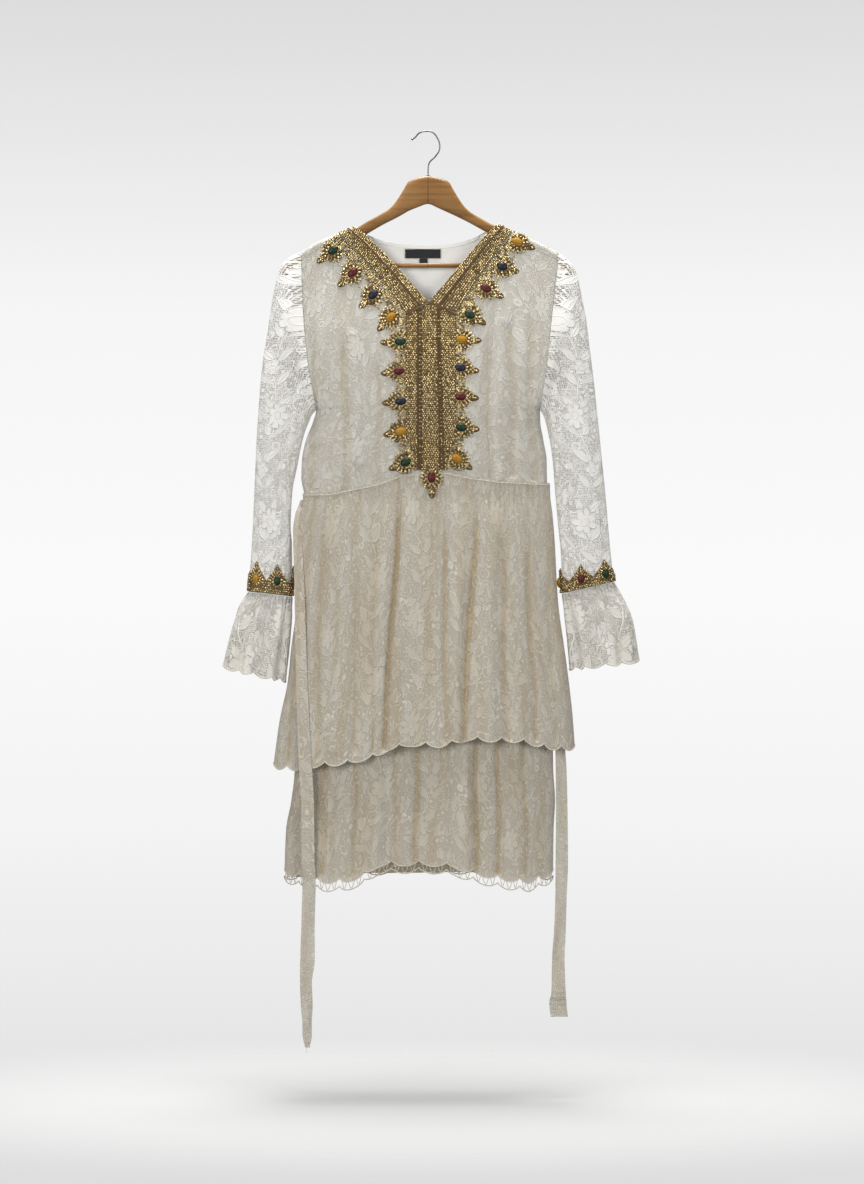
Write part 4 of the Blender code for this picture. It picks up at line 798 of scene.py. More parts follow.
CREASES_UPPER = rows(
    Crease,
    (-39, -520, -66, -925, 7, -5.5), (-28, -520, -50, -925, 12, 2.2), (75, -540, 51, -925, 8, -4.5),
    (-186, -550, -207, -940, 9, -3), (-157, -550, -165, -940, 8, -2.6), (-106, -640, -110, -930, 8, -2.4),
    (-76, -550, -84, -930, 8, -2.4), (24, -550, 27, -915, 8, -3), (112, -580, 117, -910, 9, -2.8),
    (145, -565, 160, -910, 9, -3), (-4, -560, -8, -920, 13, 1.8), (50, -560, 44, -915, 11, 1.8),
    (94, -560, 92, -915, 12, 1.8), (-130, -560, -138, -930, 12, 1.6), (176, -600, 190, -915, 8, -2),
)
CREASES_BEHIND = rows(
    Crease,
    (-170, -550, -190, -940, 9, -3.2), (-128, -550, -140, -940, 10, -3.4), (-84, -550, -92, -935, 8, -3),
    (-38, -550, -50, -930, 9, -4), (6, -550, 4, -925, 10, -3), (48, -550, 52, -925, 8, -3.6),
    (92, -550, 104, -920, 10, -3.2), (132, -550, 150, -920, 9, -3), (168, -590, 186, -920, 8, -2.2),
)


def folded(folds, x, share):
    """How far the folds push the cloth out at x, at a share of the way down to the hem."""
    depth = np.zeros_like(x)
    for fold in folds:
        middle = fold.x_top + (fold.x_hem - fold.x_top) * share
        away = np.clip(np.abs(x - middle) / (fold.width * (0.7 + 0.6 * share)), 0, 1)
        depth = depth + fold.depth * (0.08 + 0.92 * share) * np.cos(away * math.pi / 2) ** 2
    return depth


def scallop(u, count, drop):
    return drop * np.abs(np.sin(math.pi * u * count)) ** 0.7


def gathers(x, z, down):
    """Fine gathers below a seam, uneven in pitch, that fade out over their reach."""
    uneven = x + 2.5 * np.sin(x / 17.0) + 1.8 * np.sin(x / 7.3 + z / 60.0)
    fade = np.clip(1 - down / GATHER_REACH, 0, 1) ** 1.5 * np.clip(down / 5.0, 0.15, 1)
    return GATHER_DEPTH * fade * np.sin(2 * math.pi * uneven / GATHER_PITCH)


def standing(levels, height, s):
    """The place across a tier at a height, where s is -1 at its left edge and 1 at its right."""
    left, right = read(levels, height, "left"), read(levels, height, "right")
    return (left + right) / 2 + (right - left) / 2 * s


def tier_cloth(facing, levels, folds, creases, top_line, hem_line, scallops):
    """The place of a point on a tier; v runs from its top seam to its scalloped hem."""

    def place(u, v):
        s = (2 * u - 1) * 0.6 + np.sin((2 * u - 1) * math.pi / 2) * 0.4
        top = np.full_like(u, top_line[0].z)
        hem = np.full_like(u, hem_line[0].z)
        for _ in range(4):
            top = line(top_line, standing(levels, top, s))
            hem = line(hem_line, standing(levels, hem, s))
        z = top + (hem - scallop(u, scallops, SCALLOP_DROP) - top) * v
        x = standing(levels, z, s)
        soft = 1 - np.abs(s) ** 8
        push = folded(folds, x, v) + creased(creases, x, z) + gathers(x, z, top - z)
        reach = read(levels, z, "depth") * arch(s, BODY_ROUND) + push * soft
        return x, facing * (HALF_SEAM + np.maximum(reach, 0)), z

    return place


def cords(name, runs, radius, finish, slot):
    """Cords along runs of points in millimetres, all in one piece."""
    route = new_route(name, radius, finish)
    for spots in runs:
        run = route.splines.new("POLY")
        run.points.add(len(spots) - 1)
        run.points.foreach_set("co", np.column_stack((np.array(spots) * MM, np.ones(len(spots)))).ravel())
    placed(name, route, slot)


def hem_cord(name, place, v, steps=TIER_COLUMNS, radius=HEM_CORD):
    """A cord sewn along a scalloped edge."""
    u = np.linspace(0, 1, steps + 1)
    cords(name, [np.column_stack(place(u, np.full_like(u, v)))], radius, cord_thread, "lace")


skirt_lace = new_lace("skirt lace", (0.52, 0.475, 0.39), (0.535, 0.495, 0.415), (0.675, 0.65, 0.58),
                      (0.80, 0.66, 0.46), 0.80)
cord_thread, tree, shader = new_finish("cream cord", 0.7)
shader.inputs["Base Color"].default_value = (0.55, 0.51, 0.43, 1)
twist = noise(tree, stretched(tree, coordinates(tree), (900, 900, 900)), 1.0, 2.0)
bumped(tree, shader, twist, 0.0003, 0.6)
for side, facing, waist, hem, folds, creases in (
    ("front", -1, WAIST_FRONT, UPPER_HEM_FRONT, UPPER_FOLDS_FRONT, CREASES_UPPER),
    ("back", 1, WAIST_BACK, UPPER_HEM_BACK, UPPER_FOLDS_BACK, CREASES_BEHIND),
):
    lapped = tuple(Point(spot.x, spot.z + TIER_LAP) for spot in waist)
    place = tier_cloth(facing, UPPER_TIER, folds, creases, lapped, hem, UPPER_SCALLOPS)
    tier = cloth("upper_tier_" + side, TIER_COLUMNS, 110, place, (0.62, 0.39), skirt_lace, "lace",
                 creases=creases)
    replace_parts(tier, "tier_upper_" + side)
    hem_cord("upper_hem_cord_" + side, place, 1.0)
    hem_cord("waist_cord_" + side, place, WAIST_CORD_AT)

# Lower tier: the same lace, set on under the upper tier, with a deeper corded hem.
# Each scallop of the hem carries three open loops of cord over the lining.
LOWER_TIER = rows(
    Level,
    (-850, -197.5, 186.5, 30.05), (-957, -200, 188, 35.5), (-1002, -205, 190.5, 38), (-1047, -213, 188.5, 40.5),
    (-1130, -216, 187.5, 45),
)
LOWER_HEM_FRONT = rows(
    Point,
    (-216, -1116), (-156, -1127), (-124, -1126), (-99, -1119), (-72, -1100), (0, -1099), (40, -1103),
    (63, -1112), (104, -1122), (150, -1128), (188, -1116),
)
LOWER_HEM_BACK = rows(Point, (-216, -1116), (0, -1108), (188, -1116))
LOWER_FOLDS_FRONT = rows(
    Fold,
    (-178, -190, 20, -3), (-132, -134, 22, 3), (-97, -97, 17, -4), (-76, -80, 16, 3), (-57, -58, 15, -4),
    (-20, -15, 15, -5), (4, 6, 20, 3.5), (54, 54, 16, 4), (66, 68, 13, -4.5), (103, 104, 18, -4),
    (134, 134, 22, 3), (163, 165, 18, -3),
)
LOWER_FOLDS_BACK = rows(
    Fold,
    (-160, -168, 22, -4), (-118, -124, 24, 3.5), (-78, -80, 20, -4.5), (-36, -36, 24, 3.5), (0, 0, 18, -4.5),
    (42, 44, 24, 3.5), (84, 88, 20, -4), (124, 130, 24, 3.5), (156, 164, 20, -3.5),
)
LOWER_TIER_TOP = -851.0
CREASES_LOWER = rows(
    Crease,
    (-15, -880, -18, -1110, 9, -3.4), (58, -880, 62, -1110, 8, 2.4), (70, -880, 72, -1110, 6, -4.5),
    (103, -880, 106, -1110, 8, -3.6), (-74, -880, -76, -1110, 16, 2.4), (-104, -880, -110, -1110, 9, -2.8),
    (-150, -880, -158, -1110, 10, -3), (140, -880, 148, -1110, 9, -2.8), (24, -880, 28, -1110, 11, 2),
    (-48, -880, -50, -1110, 8, -2.4),
)
CREASES_LOWER_BACK = rows(
    Crease,
    (-140, -880, -150, -1110, 10, -3), (-92, -880, -100, -1110, 9, -3.6), (-44, -880, -48, -1110, 10, -3),
    (4, -880, 6, -1110, 9, -3.8), (50, -880, 56, -1110, 10, -3), (98, -880, 108, -1110, 9, -3.4),
    (140, -880, 152, -1110, 10, -2.6),
)
lower_top = rows(Point, (-220, LOWER_TIER_TOP), (220, LOWER_TIER_TOP))
LOWER_SCALLOPS = 12
CLOTH_END = 0.958
INNER_CORD = 0.8
LOOP_CORD = 0.55
LOOP_SPANS = ((0.12, 0.30), (0.38, 0.62), (0.70, 0.88))
LOOP_DEPTH = 0.86
for side, facing, hem, folds, creases in (
    ("front", -1, LOWER_HEM_FRONT, LOWER_FOLDS_FRONT, CREASES_LOWER),
    ("back", 1, LOWER_HEM_BACK, LOWER_FOLDS_BACK, CREASES_LOWER_BACK),
):
    place = tier_cloth(facing, LOWER_TIER, folds, creases, lower_top, hem, LOWER_SCALLOPS)
    tier = cloth("lower_tier_" + side, TIER_COLUMNS, 80, lambda u, v: place(u, v * CLOTH_END), (0.58, 0.26),
                 skirt_lace, "lace", creases=creases)
    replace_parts(tier, "tier_lower_" + side)
    hem_cord("lower_hem_cord_" + side, place, 1.0)
    hem_cord("lower_inner_cord_" + side, place, CLOTH_END, radius=INNER_CORD)
    loops = []
    for i in range(LOWER_SCALLOPS):
        for start, end in LOOP_SPANS:
            across = np.linspace(i + start, i + end, 9) / LOWER_SCALLOPS
            swing = np.sin(np.linspace(0, math.pi, 9))
            loops.append(np.column_stack(place(across, CLOTH_END + (1 - CLOTH_END) * LOOP_DEPTH * swing)))
    cords("hem_loops_" + side, loops, LOOP_CORD, cord_thread, "lace")

# Sleeves: unlined lace, each one tube set into the armhole and hanging straight down.
# Long soft dents run down them, so the far side shows faintly through the holes.
Ring = namedtuple("Ring", "outer_x outer_z inner_x inner_z depth")
SLEEVE_LEFT = rows(
    Ring,
    (-189, -180, -168, -417, 22), (-207, -188, -171.8, -421.5, 22.5), (-219.8, -201, -175.5, -427.5, 23),
    (-226.5, -220.5, -178.5, -435, 23), (-234, -255, -183.5, -447, 23), (-240.8, -300, -188, -462, 22.5),
    (-247.5, -342, -192, -480, 22), (-252, -387, -196, -501, 21), (-257, -460, -203.5, -541, 19),
    (-261, -552, -206, -589.5, 17), (-263.5, -604.5, -204, -619.5, 16), (-266.3, -649.5, -203.6, -657, 15.5),
    (-269.3, -690, -203.6, -697.5, 15.5),
)
SLEEVE_RIGHT = rows(
    Ring,
    (193.5, -180, 168, -417, 22), (205.5, -189, 171, -421.5, 22.5), (215.3, -198, 174, -427.5, 23),
    (223.5, -214.5, 176.3, -435, 23), (231, -249, 179.5, -448.5, 23), (237, -279, 183, -465, 22.5),
    (243, -327, 186, -484.5, 22), (248.3, -369, 188, -504, 21), (257.5, -457, 191, -544, 19),
    (267, -552, 195.5, -594, 17), (271.5, -604.5, 198.5, -624, 16), (275.5, -645, 200.3, -660, 15.5),
    (278.5, -675, 201, -693, 15.5),
)
RING_ROUND = 2.4
ARMHOLE_EASE = 3.0
SEAM = 0.3
DENT_SCALE = 30
Dent = namedtuple("Dent", "turn top low width depth")
DENTS = rows(
    Dent,
    (0.12, 0.10, 0.95, 0.07, -3.2), (0.20, 0.05, 0.80, 0.06, 2.2), (0.29, 0.12, 0.98, 0.07, -3.6),
    (0.38, 0.08, 0.90, 0.06, -2.4), (0.62, 0.10, 0.95, 0.07, -3), (0.71, 0.05, 0.85, 0.06, 2),
    (0.80, 0.12, 0.98, 0.07, -3.4), (0.89, 0.10, 0.90, 0.06, -2.4),
)


def powered(value, power):
    return np.sign(value) * np.abs(value) ** power


def ring_at(rings, turn, v, waves=0.0, drop=0.0):
    """A point on a sleeve; turn is 0 at the outer edge and half a turn at the underarm edge."""
    stops = range(len(rings))
    at = np.clip(v, 0, 1) * (len(rings) - 1)
    outer_x, outer_z, inner_x, inner_z, depth = (
        smooth_between(stops, [getattr(ring, name) for ring in rings], at) for name in Ring._fields
    )
    half_x, half_z = (outer_x - inner_x) / 2, (outer_z - inner_z) / 2
    angle = 2 * math.pi * turn
    grown = 1 + waves / np.hypot(half_x, half_z)
    round_out = powered(np.cos(angle), 2 / RING_ROUND) * grown
    x = (outer_x + inner_x) / 2 + half_x * round_out
    z = (outer_z + inner_z) / 2 + half_z * round_out - drop
    return x, -powered(np.sin(angle), 2 / RING_ROUND) * (depth + waves), z


def armhole_at(rings, turn):
    """The sleeve's top edge, which lies along the armhole with a seam's gap."""
    first = rings[0]
    angle = 2 * math.pi * turn
    round_out = powered(np.cos(angle), 2 / RING_ROUND)
    z = (first.outer_z + first.inner_z) / 2 + (first.outer_z - first.inner_z) / 2 * round_out
    outward = math.copysign(1, first.outer_x)
    x = read(BODY, z, "left" if outward < 0 else "right")
    reach = body_reach(np.full_like(z, outward), x, z, 0.0) * (np.abs(np.sin(angle)) > 1e-6)
    return x + SEAM * outward, -np.sign(np.sin(angle)) * reach, z


def even_turns(rings, v):
    """Turns at equal lengths of cloth around the sleeve at v, with those lengths."""
    turns = np.linspace(0, 1, 721)
    x, y, z = ring_at(rings, turns, np.full_like(turns, v))
    steps = np.sqrt(np.diff(x) ** 2 + np.diff(y) ** 2 + np.diff(z) ** 2)
    return turns, np.concatenate(([0], np.cumsum(steps)))


def sleeve_cloth(rings, seed):
    turns, lengths = even_turns(rings, 0.5)

    def place(u, v):
        turn = np.interp(u, lengths / lengths[-1], turns)
        push = np.zeros_like(u)
        for dent in DENTS:
            middle = dent.turn + 0.012 * np.sin(7 * v + dent.turn * 9 + seed)
            away = np.clip(np.abs(turn - middle) / dent.width, 0, 1)
            along = np.clip(np.minimum(v - dent.top, dent.low - v) / 0.15, 0, 1)
            push = push + dent.depth * np.cos(away * math.pi / 2) ** 2 * along
        x, y, z = ring_at(rings, turn, v)
        joined = np.clip(1 - v * (len(rings) - 1) / ARMHOLE_EASE, 0, 1)
        start = ring_at(rings, turn, np.zeros_like(v))
        axes = zip((x, y, z), armhole_at(rings, turn), start)
        x, y, z = (here + (seam - loose) * joined for here, seam, loose in axes)
        return x, y * (1 + push / DENT_SCALE), z

    return place


sleeve_lace = new_lace("sleeve lace", (0.79, 0.77, 0.72), (0.86, 0.85, 0.81), (0.95, 0.95, 0.93),
                       (0.92, 0.89, 0.83), 0.18)
for side, rings, flip in (("left", SLEEVE_LEFT, 1), ("right", SLEEVE_RIGHT, -1)):
    sleeve = cloth("sleeve_lace_" + side, 120, 170, sleeve_cloth(rings, flip), (0.17, 0.52), sleeve_lace,
                   "lace", ring=True, upright=True)
    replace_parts(sleeve, "sleeve_" + side)

# Ruffles: a bell of the same lace under each cuff, gathered into waves with a scalloped edge.
# A cord runs along the scallops.
RUFFLE_LEFT = rows(
    Ring,
    (-269.3, -690.4, -203.6, -697.9, 15.5), (-280.5, -709, -204, -722, 19.5), (-293, -752, -208.5, -767, 26.5),
    (-303, -799, -216, -819, 33),
)
RUFFLE_RIGHT = rows(
    Ring,
    (278.5, -675.4, 201, -693.4, 15.5), (289, -695, 203.8, -720, 20), (304, -732, 209.5, -760, 26.5),
    (312.5, -790, 215, -801, 33),
)
RUFFLE_COLUMNS = 240
RUFFLE_WAVES = 9
RUFFLE_WAVE_DEPTH = 4.5
RUFFLE_SCALLOPS = 12
RUFFLE_SCALLOP_DROP = 6.0
RUFFLE_GATHERS = 34
RUFFLE_GATHER_DEPTH = 0.9


def ruffle_cloth(rings):
    turns, lengths = even_turns(rings, 0.5)

    def place(u, v):
        turn = np.interp(u, lengths / lengths[-1], turns)
        waves = RUFFLE_WAVE_DEPTH * v * np.cos(2 * math.pi * turn * RUFFLE_WAVES)
        gathered = np.sin(2 * math.pi * u * RUFFLE_GATHERS + 2 * np.sin(9 * u))
        waves = waves + RUFFLE_GATHER_DEPTH * np.clip(1 - v / 0.5, 0, 1) * gathered
        drop = scallop(turn, RUFFLE_SCALLOPS, RUFFLE_SCALLOP_DROP) * v**6
        return ring_at(rings, turn, v, waves, drop)

    return place


# Painted shade: the ruffles' lace is the sleeve lace painted about a fifth darker.
ruffle_lace = new_lace("ruffle lace", (0.65, 0.62, 0.56), (0.71, 0.69, 0.64), (0.83, 0.82, 0.78),
                       (0.89, 0.84, 0.76), 0.22)
for side, rings in (("left", RUFFLE_LEFT), ("right", RUFFLE_RIGHT)):
    place = ruffle_cloth(rings)
    ruffle = cloth("ruffle_lace_" + side, RUFFLE_COLUMNS, 30, place, (0.27, 0.13), ruffle_lace, "lace",
                   ring=True)
    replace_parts(ruffle, "cuff_ruffle_" + side)
    hem_cord("ruffle_cord_" + side, place, 1.0, RUFFLE_COLUMNS)

# Ties: two narrow bands of lace caught in the side seams at the waist, hanging free.
# The left one lies over the skirt with its end frayed; the right one swings out and twists.
Band = namedtuple("Band", "x y z width turn")
TIE_LEFT = rows(
    Band,
    (-195.6, -2, -552, 10, 0), (-196, -4, -580, 12, 10), (-194.5, -8, -620, 14, 15), (-192, -14, -680, 15, 8),
    (-190, -22, -750, 16, 0), (-188, -28, -820, 17, 4), (-185, -34, -890, 18, -4), (-182, -38, -950, 19, 3),
    (-178.5, -38, -1010, 19, -5), (-177.8, -38, -1092, 19, 4), (-176.5, -38, -1122, 20, -6),
    (-178, -38, -1180, 20, 8), (-178.8, -38, -1235, 22, -6), (-181, -38, -1270, 18, 12),
    (-180, -38, -1300, 18, -4), (-179.5, -37, -1330, 14, 6), (-179.3, -37, -1347, 14, 0),
    (-178.8, -37, -1366, 7, 0),
)
TIE_RIGHT = rows(
    Band,
    (179.4, 0, -572, 10, 90), (182, 0, -610, 12, 88), (186.5, -1, -680, 13, 86), (192, -2, -760, 14, 82),
    (195.5, -4, -850, 15, 66), (197.5, -6, -910, 16, 30), (199.5, -8, -965, 17, 8), (200.3, -8, -1050, 18, -4),
    (200.3, -9, -1092, 19, 5), (199, -9, -1152, 17, -8), (197.3, -8, -1200, 18, 8), (195, -8, -1242, 19, -4),
    (195.5, -8, -1290, 22, 6), (194.5, -8, -1306, 26, 0), (196.5, -8, -1326, 26, 0),
)
TIE_WIDTH = 0.022
TUCKED_IN = 7.0


def length_of(points):
    """The length of a line of straight stretches."""
    return sum(math.dist(a, b) for a, b in zip(points, points[1:]))


def tier_reach(x, z):
    """How far the front of the upper tier stands out at a place."""
    left, right = read(UPPER_TIER, z, "left"), read(UPPER_TIER, z, "right")
    s = np.clip((2 * x - left - right) / (right - left), -1, 1)
    share = np.clip((WAIST_FRONT[0].z - z) / (WAIST_FRONT[0].z - UPPER_HEM_FRONT[0].z), 0, 1)
    push = folded(UPPER_FOLDS_FRONT, x, share) + creased(CREASES_UPPER, x, z)
    return read(UPPER_TIER, z, "depth") * arch(s, BODY_ROUND) + push * (1 - np.abs(s) ** 8)


def tie_cloth(bands, over_tier):
    stops = range(len(bands))

    def place(u, v):
        at = v * (len(bands) - 1)
        columns = ([getattr(band, name) for band in bands] for name in Band._fields)
        x, y, z, width, turn = (smooth_between(stops, column, at) for column in columns)
        if over_tier:
            reaches = [tier_reach(x + width * step, z) for step in (-0.5, -0.2, 0.2, 0.5)]
            y = np.minimum(y, -np.maximum.reduce(reaches) - TIE_CLEARANCE)
            x = x + TUCKED_IN * np.clip(1 - v * 12, 0, 1)
        turn = np.radians(turn)
        off = (u - 0.5) * width * np.clip(0.45 + v * 14, 0, 1)
        curl = 1.3 * np.cos(2 * math.pi * u) * np.sin(v * 23)
        return x + off * np.cos(turn), y + off * np.sin(turn) + curl * np.cos(turn), z

    return place


for side, bands, over_tier in (("left", TIE_LEFT, True), ("right", TIE_RIGHT, False)):
    place = tie_cloth(bands, over_tier)
    length = length_of([band[:3] for band in bands]) * MM
    tie = cloth("tie_lace_" + side, 12, 220, place, (TIE_WIDTH, length), skirt_lace, "lace")
    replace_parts(tie, "tie_" + side)
THREAD = rows(Point, (-177.5, -1362), (-179.6, -1366), (-180.6, -1369), (-180, -1372.5), (-182.5, -1375.5))
cords("loose_thread", [[(spot.x, TIE_LEFT[-1].y, spot.z) for spot in THREAD]], 0.35, cord_thread, "lace")

# Gold trim: a stiff antique-gold ground cut to the shape of the neckline, the front panel and cuffs.
# It is sewn on flat, and the beadwork hides nearly all of it.
Medallion = namedtuple("Medallion", "x z tip_x tip_z colour")
MEDALLIONS_LEFT = rows(
    Medallion,
    (-141.8, -179.3, -166.5, -198, "green"), (-112.5, -213, -135, -234, "red"),
    (-81.8, -246, -103.5, -267, "navy"), (-55.5, -279.8, -75, -300, "yellow"),
    (-41.3, -316.5, -71.3, -318, "green"), (-42.8, -360.8, -69, -364.5, "red"),
    (-40.5, -405.8, -67.5, -408.8, "navy"), (-40.5, -450.8, -64.5, -456, "yellow"),
    (-33, -496.5, -57, -507, "green"),
)
MEDALLIONS_RIGHT = rows(
    Medallion,
    (133.5, -166.5, 159, -176.3, "yellow"), (111, -203.3, 136.5, -213, "navy"),
    (86.3, -236.3, 113.3, -250.5, "red"), (62.3, -276, 85.5, -290.3, "green"),
    (50.3, -313.5, 79.5, -315, "yellow"), (48, -355.5, 75.8, -360.8, "navy"), (48, -399, 75, -401.3, "red"),
    (49.5, -444.8, 75.8, -447.8, "green"), (43.5, -491.3, 64.5, -506.3, "yellow"),
)
MEDALLION_BOTTOM = Medallion(5.3, -519.0, 6.0, -551.3, "red")
PLACKET = rows(
    Level,
    (-257.6, -33, 42, 0), (-300, -33, 42, 0), (-360, -33, 42, 0), (-420, -33, 42, 0), (-461, -33, 42, 0),
    (-484, -20, 29, 0), (-508, -20, 29, 0),
)
BASE_LEFT = rows(
    Point,
    (-143, -158.5), (-106, -194), (-72, -231), (-35.5, -277), (-34.4, -463), (-21.6, -486), (-21.6, -506),
)
BASE_RIGHT = rows(
    Point,
    (136, -155), (108, -190), (79, -231), (44, -276), (43.4, -463), (30.6, -486), (30.6, -506),
)
PLACKET_SLOPE = 0.48
BAND_OUTER_LEFT = rows(Point, (-134, -152.2), (-100, -187), (-66, -224), (-33, -273.5))
BAND_OUTER_RIGHT = rows(Point, (126, -149.3), (101, -182), (72, -224), (42, -272))
WAIST_LIFT = 1.7
WAIST_SLOPE = 0.07
TRIM_TOP = 2.6
gold_ground, tree, shader = new_finish("gold ground", 0.55, 0.35)
threads = noise(tree, coordinates(tree), 700.0, 2.0)
woven_gold = mottled(tree, threads, 0.35, 0.65, (0.055, 0.032, 0.010), (0.17, 0.105, 0.035))
join(tree, woven_gold, shader.inputs["Base Color"])
bumped(tree, shader, threads, 0.0005, 0.8)
gold_bead, tree, shader = new_finish("gold bead", 0.30, 0.8)
tone = noise(tree, coordinates(tree), 330.0, 1.0)
worn_gold = mottled(tree, tone, 0.36, 0.64, (0.13, 0.075, 0.020), (0.92, 0.74, 0.38))
join(tree, worn_gold, shader.inputs["Base Color"])
brown_cord, tree, shader = new_finish("brown cord", 0.6)
shader.inputs["Base Color"].default_value = (0.11, 0.058, 0.018, 1)


def refinished(names, finish):
    """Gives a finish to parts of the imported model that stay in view."""
    for name in names:
        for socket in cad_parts[name].material_slots:
            socket.material = finish


def front_at(x, z, lift):
    """A point standing out from the bodice front by a lift."""
    middle, half = body_span(z, 0)
    s = np.clip((x - middle) / half, -1, 1)
    over_skirt = np.where(z < PLACKET[-1].z, WAIST_LIFT + WAIST_SLOPE * np.maximum(PLACKET[-1].z - z, 0), 0)
    return x, -(HALF_SEAM + body_reach(s, x, z, -(lift + over_skirt))), z


def raised(height):
    """The surface that stands out from the bodice front by a height."""
    return lambda x, z, lift: front_at(x, z, lift + height)


def beaded(name, template, surface, spots, finish, slot):
    """Copies of a small shape laid on a surface; a spot is (x, z, turn, length, width, height)."""
    spots = np.array(spots)
    x, z, turn, length, width, height = spots.T
    step = 0.4
    ahead_x, ahead_z = np.cos(turn), np.sin(turn)
    here = np.column_stack(surface(x, z, 0 * x))
    ahead = np.column_stack(surface(x + ahead_x * step, z + ahead_z * step, 0 * x)) - here
    beside = np.column_stack(surface(x - ahead_z * step, z + ahead_x * step, 0 * x)) - here
    ahead /= np.linalg.norm(ahead, axis=1)[:, None]
    out = np.cross(beside, ahead)
    out /= np.linalg.norm(out, axis=1)[:, None]
    beside = np.cross(ahead, out)
    corners = np.array([corner.co for corner in template.verts])
    grid = here[:, None] + (corners[None, :, :1] * (ahead * length[:, None])[:, None]
                            + corners[None, :, 1:2] * (beside * width[:, None])[:, None]
                            + (corners[None, :, 2:] + 0.2) * (out * height[:, None])[:, None])
    faces = [[corner.index for corner in face.verts] for face in template.faces]
    count = len(corners)
    mesh = bpy.data.meshes.new(name)
    mesh.from_pydata((grid.reshape(-1, 3) * MM).tolist(), [],
                     [[corner + count * i for corner in face] for i in range(len(spots)) for face in faces])
    mesh.materials.append(finish)
    mesh.polygons.foreach_set("use_smooth", [True] * len(mesh.polygons))
    return placed(name, mesh, slot)


def ball(segments, rings):
    template = bmesh.new()
    bmesh.ops.create_uvsphere(template, u_segments=segments, v_segments=rings, radius=0.5)
    template.verts.ensure_lookup_table()
    template.verts.index_update()
    return template


def along_line(points, share):
    """A point at a share of the length of a line of straight stretches."""
    lengths = np.concatenate(([0], np.cumsum([math.dist(a, b) for a, b in zip(points, points[1:])])))
    wanted = np.clip(share, 0, 1) * lengths[-1]
    return np.interp(wanted, lengths, [p.x for p in points]), np.interp(wanted, lengths, [p.z for p in points])


bead = ball(6, 4)
GRAIN = 3.1
rng = np.random.default_rng(7)


def grain(x, z, turn=0.0, length=GRAIN, width=GRAIN * 0.9, height=1.9):
    """One bead's row, a little uneven in size and place as handwork is."""
    jitter = rng.uniform(-0.45, 0.45, 2)
    size = rng.uniform(0.88, 1.1)
    turn = turn + rng.uniform(-0.3, 0.3)
    return x + jitter[0], z + jitter[1], turn, length * size, width * size, height * size


on_trim = raised(TRIM_TOP)
refinished(("neck_band_left", "neck_band_right", "placket", "cuff_trim_left", "cuff_trim_right"), gold_ground)

# Neck bands: two strips of gold beads on each side of the V, with a double brown cord between.
# They run from the shoulders and meet in a point above the front panel.
PIPING = 0.65
CORD_LIFT = 1.5
BEAD_ROWS = (0.05, 0.145, 0.24, 0.335, 0.43, 0.525, 0.70, 0.79, 0.88, 0.965)
CORD_SHARES = (0.59, 0.635)


def piped(name, runs):
    """Brown cords laid on the trim along lines of (x, z) spots."""
    runs = [np.column_stack(on_trim(*np.array(run, float).T, CORD_LIFT)) for run in runs]
    cords(name, runs, PIPING, brown_cord, "gold_trim")


def between(outer_edge, inner_edge, share, across):
    """Places at a share of the length of two edges, and part of the way across to the inner one."""
    outer_x, outer_z = along_line(outer_edge, share)
    inner_x, inner_z = along_line(inner_edge, share)
    return outer_x + (inner_x - outer_x) * across, outer_z + (inner_z - outer_z) * across


spots = []
runs = []
vertex = min(range(len(V_NECK)), key=lambda i: V_NECK[i].z)
inner_left, inner_right = V_NECK[:vertex + 1], V_NECK[vertex:][::-1]
for outer_edge, inner_edge in ((BAND_OUTER_LEFT, inner_left), (BAND_OUTER_RIGHT, inner_right)):
    inner_edge = inner_edge[:-1] + (Point(inner_edge[-1].x, PLACKET[0].z + 1.0),)
    count = int(length_of(outer_edge) / GRAIN)
    for row, across in enumerate(BEAD_ROWS):
        for i in range(count):
            share = (i + 0.5 + 0.5 * (row % 2)) / (count + 0.6)
            x, z = between(outer_edge, inner_edge, share, across)
            spots.append(grain(float(x), float(z)))
    shares = np.linspace(0.0, 0.99, 60)
    runs += [np.column_stack(between(outer_edge, inner_edge, shares, across)) for across in CORD_SHARES]
    foot = np.linspace((outer_edge[-1].x, outer_edge[-1].z), (inner_edge[-1].x, PLACKET[0].z + 1.2), 30)
    runs.append(foot - (0, 0.9))
middle = (PLACKET[0].left + PLACKET[0].right) / 2
head = np.linspace(PLACKET[0].left - 2, PLACKET[0].right + 2, 41)
runs.append(np.column_stack((head, PLACKET[0].z - PLACKET_SLOPE * np.abs(head - middle))))
piped("neck_cords", runs)

# Front panel: rows of gold beads in strips down the front, parted by double brown cords.
# It ends in a narrower foot between the last two medallions.
PANEL_CORDS = ((-14.5, -14.5), (-10.5, -10.5), (13.5, 18.6), (16.5, 23.5))
CORD_CLEARANCE = 1.25
z = PLACKET[0].z - 6
row = 0
while z > PLACKET[-1].z:
    left, right = float(read(PLACKET, z, "left")), float(read(PLACKET, z, "right"))
    count = int((right - left - 2) / (GRAIN + 0.25))
    for i in range(count):
        x = left + 1.5 + (right - left - 3) * (i + 0.5 * (row % 2)) / (count - 0.5)
        down = (PLACKET[0].z - z) / (PLACKET[0].z - PLACKET[-1].z)
        clear = min(abs(x - (top + (low - top) * down)) for top, low in PANEL_CORDS)
        below_head = z < PLACKET[0].z - PLACKET_SLOPE * abs(x - (left + right) / 2) - 2
        if clear > CORD_CLEARANCE and below_head:
            spots.append(grain(x, z))
    z -= GRAIN * 0.98
    row += 1
runs = []
